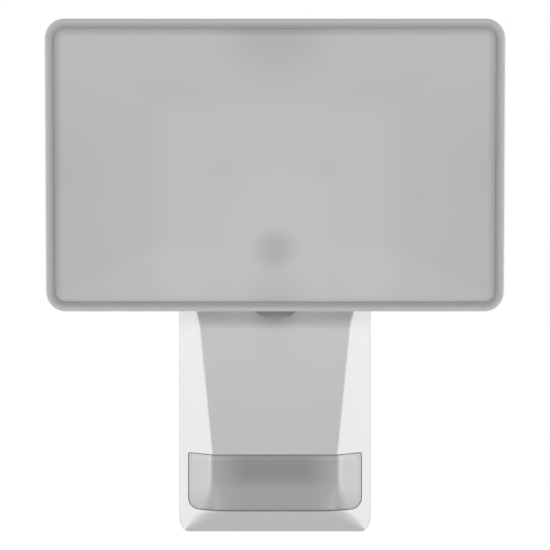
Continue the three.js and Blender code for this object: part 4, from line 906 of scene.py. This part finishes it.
def build_ball():
    low, high = head_box("knuckle_ball")
    radius = 15.0
    mesh = bmesh.new()
    bmesh.ops.create_uvsphere(mesh, u_segments=BALL_STEPS, v_segments=BALL_STEPS // 2, radius=radius * MM)
    bmesh.ops.translate(mesh, verts=mesh.verts, vec=PIVOT)
    obj = new_object("knuckle_ball_fine", mesh)
    flats = prism(rectangle(-20, 20, low[2], high[2]), -20, 20, head_point)
    carve(obj, flats, "INTERSECT")
    slot_half = 5.5
    sweep_up, sweep_down = math.radians(18.1), math.radians(-54.9)
    half = 3.4
    corners = [(math.sin(sweep_up) * half, math.cos(sweep_up) * half)]
    for angle, offset in ((sweep_up, half), ((sweep_up + sweep_down) / 2, 0), (sweep_down, -half)):
        reach = 30
        corners.append((-math.cos(angle) * reach + math.sin(angle) * offset,
                        math.sin(angle) * reach + math.cos(angle) * offset))
    corners.append((-math.sin(sweep_down) * half, -math.cos(sweep_down) * half))
    rings = [[head_point(x, f, v) for f, v in corners] for x in (-slot_half, slot_half)]
    carve(obj, new_object("tool", loft(rings)))
    carve(obj, cross_bar(7.5, -slot_half, slot_half, 0, 0, head_point, 48))
    for sign in (-1, 1):
        left, right = sorted((sign * 11.4, sign * 20))
        carve(obj, cross_bar(4.6, left, right, 0, 0, head_point))
    return soften(obj, 0.3, segments=2, angle=50)


knuckle_ball = finish_piece(build_ball(), "knuckle", white_plastic, "white_plastic", "knuckle_ball")

# %% Rounded copies of plainer CAD pieces
# The yoke's mid grey is partly its own cast aluminium grey and partly painted shade, which keeps its bottom
# dark under the head.
yoke_aluminium_and_shade = moulded("yoke_aluminium_and_shade", (0.5, 0.5, 0.51), 0.75, grain=900.0, amount=0.05)
YOKE_ROUND = 13.9
YOKE_TURNS = [math.radians(-34 + 4 * step) for step in range(18)]


def round_yoke(yoke):
    """Fills the yoke's lower edge out to an arc and takes its two lower corners off."""
    edge = [(YOKE_ROUND * math.sin(turn), -YOKE_ROUND * math.cos(turn), 0) for turn in YOKE_TURNS]
    carve(yoke, prism(edge, 6, 17.6, head_point), "UNION")
    for side in (-1, 1):
        corner = [(side * x, up, 0) for x, up in ((4.4, -15.5), (11, -15.5), (11, -8.4), (8.7, -10.6))]
        carve(yoke, prism(corner[::side], 4, 20, head_point))


def rounded_copy(node, width, angle=35):
    """A copy of a CAD node with merged corners, flat faces made whole and its edges rounded."""
    mesh = bmesh.new()
    mesh.from_mesh(frame["nodes"][node].data)
    bmesh.ops.remove_doubles(mesh, verts=mesh.verts, dist=2e-6)
    bmesh.ops.dissolve_limit(mesh, angle_limit=math.radians(1), verts=mesh.verts, edges=mesh.edges)
    obj = new_object(node + "_fine", mesh)
    if node == "head_yoke":
        round_yoke(obj)
    return soften(obj, width, segments=3, angle=angle)


copies = (
    ("head_yoke", 0.35, "head", yoke_aluminium_and_shade, "cast_aluminium"),
    ("neck_arm", 0.3, "base", cast_aluminium, "cast_aluminium"),
    ("wall_bracket", 0.35, "base", nylon, "nylon"),
    ("terminal_block", 0.25, "base", terminal_white, "terminal_white"),
    ("rear_cover", 0.3, "base", white_plastic, "white_plastic"),
)
for node, width, body, material, slot in copies:
    finish_piece(rounded_copy(node, width), body, material, slot, node)

# %% [markdown]
# ## Screws by Geometry Nodes
# All the screw heads are one tree: a dome with a cross recess and a shank, placed on points that
# know which way they face. One object per body holds the points, and the tree's inputs hold sizes.

# %% Geometry Nodes helpers
def new_tree(name, inputs):
    tree = bpy.data.node_groups.new(name, "GeometryNodeTree")
    tree.interface.new_socket("Geometry", in_out="INPUT", socket_type="NodeSocketGeometry")
    for label, kind, value in inputs:
        socket = tree.interface.new_socket(label, in_out="INPUT", socket_type=kind)
        if value is not None:
            socket.default_value = value
    tree.interface.new_socket("Geometry", in_out="OUTPUT", socket_type="NodeSocketGeometry")
    return tree, tree.nodes.new("NodeGroupInput"), tree.nodes.new("NodeGroupOutput")


def geo(tree, kind, settings=None, **values):
    node = tree.nodes.new("GeometryNode" + kind)
    for label, value in (settings or {}).items():
        setattr(node, label, value)
    for label, value in values.items():
        feed(tree, node.inputs[label.replace("_", " ")], value)
    return node


def vector_of(tree, x=0.0, y=0.0, z=0.0):
    node = tree.nodes.new("ShaderNodeCombineXYZ")
    for socket, value in zip(node.inputs, (x, y, z)):
        feed(tree, socket, value)
    return node.outputs[0]


def run_tree(obj, tree, **values):
    modifier = obj.modifiers.new(tree.name, "NODES")
    modifier.node_group = tree
    for item in tree.interface.items_tree:
        if item.in_out == "INPUT" and item.name in values:
            modifier[item.identifier] = values[item.name]
    return apply_modifiers(obj)


def screw_tree():
    tree, start, end = new_tree("Cross-head screws", [
        ("Head Radius", FLOAT, 0.0028), ("Head Height", FLOAT, 0.0018),
        ("Shank Radius", FLOAT, 0.0015), ("Length", FLOAT, 0.008),
        ("Material", "NodeSocketMaterial", None),
    ])
    get = start.outputs
    dome = geo(tree, "MeshUVSphere", Segments=24, Rings=12, Radius=get["Head Radius"])
    flat = maths(tree, "DIVIDE", get["Head Height"], get["Head Radius"])
    dome = geo(tree, "Transform", Geometry=dome.outputs["Mesh"], Scale=vector_of(tree, 1.0, 1.0, flat))
    keep = geo(tree, "MeshCube", Size=vector_of(tree, 1.0, 1.0, 1.0))
    keep = geo(tree, "Transform", Geometry=keep.outputs["Mesh"], Translation=(0, 0, 0.5))
    half = geo(tree, "MeshBoolean", {"operation": "INTERSECT", "solver": "EXACT"})
    tree.links.new(dome.outputs[0], half.inputs["Mesh 2"])
    tree.links.new(keep.outputs[0], half.inputs["Mesh 2"])
    long_arm = maths(tree, "MULTIPLY", get["Head Radius"], 1.15)
    thin_arm = maths(tree, "MULTIPLY", get["Head Radius"], 0.26)
    tall = maths(tree, "MULTIPLY", get["Head Height"], 1.2)
    cross = geo(tree, "MeshBoolean", {"operation": "DIFFERENCE", "solver": "EXACT"})
    tree.links.new(half.outputs[0], cross.inputs["Mesh 1"])
    for x, y in ((long_arm, thin_arm), (thin_arm, long_arm)):
        arm_cube = geo(tree, "MeshCube", Size=vector_of(tree, x, y, tall))
        lifted = geo(tree, "Transform", Geometry=arm_cube.outputs["Mesh"],
                     Translation=vector_of(tree, 0.0, 0.0, get["Head Height"]))
        tree.links.new(lifted.outputs[0], cross.inputs["Mesh 2"])
    shank = geo(tree, "MeshCylinder", Vertices=20, Radius=get["Shank Radius"], Depth=get["Length"])
    drop = maths(tree, "MULTIPLY", get["Length"], -0.5)
    shank = geo(tree, "Transform", Geometry=shank.outputs["Mesh"],
                Translation=vector_of(tree, 0.0, 0.0, drop))
    whole = geo(tree, "JoinGeometry")
    tree.links.new(cross.outputs[0], whole.inputs[0])
    tree.links.new(shank.outputs[0], whole.inputs[0])
    facing = geo(tree, "InputNamedAttribute", {"data_type": "FLOAT_VECTOR"}, Name="facing")
    turned = tree.nodes.new("FunctionNodeAlignRotationToVector")
    turned.axis = "Z"
    tree.links.new(facing.outputs["Attribute"], turned.inputs["Vector"])
    placed = geo(tree, "InstanceOnPoints", Points=get["Geometry"], Instance=whole.outputs[0],
                 Rotation=turned.outputs[0])
    real = geo(tree, "RealizeInstances", Geometry=placed.outputs[0])
    painted = geo(tree, "SetMaterial", Geometry=real.outputs[0], Material=get["Material"])
    tree.links.new(painted.outputs[0], end.inputs[0])
    return tree


screws = screw_tree()


def point_cloud(name, spots):
    """A mesh of loose points, each with the direction that it faces."""
    data = bpy.data.meshes.new(name)
    data.from_pydata([spot for spot, _ in spots], [], [])
    facing = data.attributes.new("facing", "FLOAT_VECTOR", "POINT")
    for index, (_, way) in enumerate(spots):
        facing.data[index].vector = way
    obj = bpy.data.objects.new(name, data)
    scene.collection.objects.link(obj)
    return obj


def make_screws(name, spots, body, nodes, head, height, shank, length):
    obj = point_cloud(name, spots)
    run_tree(obj, screws, **{
        "Head Radius": head * MM, "Head Height": height * MM, "Shank Radius": shank * MM,
        "Length": length * MM, "Material": zinc,
    })
    shade(obj, 35)
    return finish_piece(obj, body, zinc, "zinc_steel", *nodes)


# %% Place the screws
INTO_WALL = Vector((0, 1, 0))


def wall_screw_spots():
    spots = []
    for x, near, height in screw_places("rear_cover_screw", (1, 2, 3, 4)):
        spots.append((wall_point(x, near + 1.8, height), INTO_WALL))
    return spots


def side_screw_spots():
    spots = []
    for side, sign in (("left", -1), ("right", 1)):
        low, high = wall_box(f"housing_screw_{side}")
        outer = max(abs(low[0]), abs(high[0])) - 1.3
        spot = wall_point(sign * outer, (low[1] + high[1]) / 2, (low[2] + high[2]) / 2)
        spots.append((spot, Vector((sign, 0, 0))))
    return spots


def head_screw_spots():
    spots = []
    for stem, numbers in (("cover_screw", (1, 2, 3, 4)), ("yoke_screw", (1, 2))):
        for x, near, height in screw_places(stem, numbers, head_box):
            spots.append((head_point(x, near + 1.8, height), -HEAD_FORWARD))
    return spots


make_screws("rear_cover_screws_fine", wall_screw_spots(), "base",
            [f"rear_cover_screw_{n}" for n in (1, 2, 3, 4)], 2.8, 1.7, 1.5, 9.5)
make_screws("housing_screws_fine", side_screw_spots(), "base",
            ["housing_screw_left", "housing_screw_right"], 2.8, 1.2, 1.5, 7.5)
make_screws("head_screws_fine", head_screw_spots(), "head",
            [f"cover_screw_{n}" for n in (1, 2, 3, 4)] + ["yoke_screw_1", "yoke_screw_2"], 2.8, 1.7, 1.5, 6.5)
tilt_low, tilt_high = head_box("tilt_screw")
make_screws("tilt_screw_fine", [(head_point(tilt_high[0] - 2.2, 0, 0), Vector((1, 0, 0)))], "knuckle",
            ["tilt_screw"], 4.2, 2.1, 2.4, 25)

# %% [markdown]
# ## The setting dials
# Each dial is a shallow disc with a fluted rim, a slot for a screwdriver and a pointer notch cut into its
# face. The flutes are a wave in the radius, so the disc is lofted from rings that carry the wave.

# %% Dials
FLUTES = 24


def dial_ring(middle, radius, height, wave):
    points = []
    for step in range(FLUTES * 4):
        turn = 2 * math.pi * step / (FLUTES * 4)
        reach = radius - wave * (0.5 + 0.5 * math.cos(FLUTES * turn))
        x, depth = middle[0] + reach * math.cos(turn), middle[1] + reach * math.sin(turn)
        points.append(wall_point(x, depth, height))
    return points


def build_dial(node):
    low, high = wall_box(node)
    middle = ((low[0] + high[0]) / 2, (low[1] + high[1]) / 2)
    radius = (high[0] - low[0]) / 2
    bottom = low[2]
    rings = [
        dial_ring(middle, radius - 0.8, bottom, 0.0),
        dial_ring(middle, radius - 0.25, bottom + 0.25, 0.1),
        dial_ring(middle, radius, bottom + 0.8, 0.35),
        dial_ring(middle, radius, bottom + 2.6, 0.35),
        dial_ring(middle, 2.0, bottom + 2.6, 0.0),
        dial_ring(middle, 2.0, high[2], 0.0),
    ]
    obj = new_object(node + "_fine", loft(rings))
    slot = rectangle(middle[0] - 0.7, middle[0] + 0.7, bottom - 1, bottom + 1.1)
    carve(obj, prism(slot, middle[1] - radius * 0.62, middle[1] + radius * 0.62))
    pointer = [(middle[0] - 0.9, middle[1] + radius * 0.66), (middle[0] + 0.9, middle[1] + radius * 0.66),
               (middle[0], middle[1] + radius * 0.88)]
    rings = [[wall_point(x, depth, height) for x, depth in pointer] for height in (bottom - 1, bottom + 0.4)]
    carve(obj, new_object("tool", loft(rings)))
    return shade(obj, 40)


for stem in ("time", "light", "range"):
    finish_piece(build_dial(stem + "_dial"), stem + "_knob", white_plastic, "white_plastic", stem + "_dial")

# %% [markdown]
# ## Finishes on the pieces that keep their solids
# The inner pieces keep their CAD shape. Each one takes a finish in its material slot, because even a
# piece that is rarely seen shows through a gap or when the light is opened in another scene.

# %% Carried-over nodes
kept = {
    grey_rubber: ("cable_grommet", "rear_seal", "lens_seal", "neck_seal", "cover_seal", "vent_plug",
                  "head_gland"),
    black_plastic: ("time_pot", "light_pot", "range_pot", "light_sensor", "capacitor", "relay"),
    circuit_board: ("sensor_board", "dial_board", "driver_board"),
    led_white: ("led_board",),
    tape: ("transformer",),
    ferrite: ("choke",),
    sheath: ("supply_lead", "lead_in_base", "lead_in_head"),
    nylon: ("friction_washer_left", "friction_washer_right"),
    aluminium: ("heat_spreader",),
    gloss_white: ("reflector",),
    zinc: ("motion_sensor", "neck_screw_1", "neck_screw_2", "tilt_nut", "pan_pin_upper", "pan_pin_lower",
           "reflector_screw_1", "reflector_screw_2"),
}
for material, names in kept.items():
    for name in names:
        data = frame["nodes"][name].data
        data.materials.clear()
        data.materials.append(material)

# %% [markdown]
# ## Light and surroundings
# The white light is shown on white. Two tall soft boxes beside it and slightly behind brighten the
# chamfers and the sides, while a weaker one in front leaves the faces light grey.

# %% Floor, world and lights
def area_light(name, spot, target, size, power):
    data = bpy.data.lights.new(name, "AREA")
    data.shape = "RECTANGLE"
    data.size, data.size_y = size
    data.energy = power
    obj = bpy.data.objects.new(name, data)
    obj.location = spot
    obj.rotation_euler = (Vector(target) - Vector(spot)).to_track_quat("-Z", "Y").to_euler()
    scene.collection.objects.link(obj)
    return obj


def add_floor():
    mesh = bmesh.new()
    bmesh.ops.create_grid(mesh, x_segments=2, y_segments=2, size=1.6)
    bmesh.ops.translate(mesh, verts=mesh.verts, vec=(0, 0, FLOOR_HEIGHT))
    floor = new_object("floor", mesh)
    paper = moulded("floor_paper", grey(0.85), 0.8, grain=300.0, amount=0.02, bump=0.1)
    shader = paper.node_tree.nodes["Principled BSDF"]
    shader.inputs["Emission Color"].default_value = grey(1.0)
    shader.inputs["Emission Strength"].default_value = 0.45
    floor.data.materials.append(paper)
    floor.visible_diffuse = False


def add_world():
    world = bpy.data.worlds.new("studio")
    scene.world = world
    world.use_nodes = True
    tree = world.node_tree
    seen = tree.nodes.new("ShaderNodeLightPath").outputs["Is Camera Ray"]
    way = tree.nodes.new("ShaderNodeSeparateXYZ")
    feed(tree, way.inputs[0], tree.nodes.new("ShaderNodeTexCoord").outputs["Generated"])
    below = smooth_step(tree, way.outputs["Z"], -0.45, -0.95, AMBIENT, AMBIENT + TABLE_GLOW)
    plain = tree.nodes.new("ShaderNodeMix")
    feed(tree, plain.inputs["Factor"], seen)
    feed(tree, plain.inputs["A"], below)
    plain.inputs["B"].default_value = 1.0
    feed(tree, tree.nodes["Background"].inputs["Strength"], plain.outputs["Result"])
    tree.nodes["Background"].inputs["Color"].default_value = (1, 1, 1, 1)


FLOOR_HEIGHT = -0.36
AMBIENT = 0.24
TABLE_GLOW = 0.3
add_floor()
add_world()
middle = (0, -0.06, 0.05)
area_light("left_box", (-1.1, 0.1, 0.05), middle, (0.9, 1.4), 11.6)
area_light("right_box", (1.1, 0.1, 0.05), middle, (0.9, 1.4), 11.6)
area_light("front_box", (0, -2.2, 0.27), middle, (1.6, 0.22), 11.2)
scene.view_settings.view_transform = "Standard"
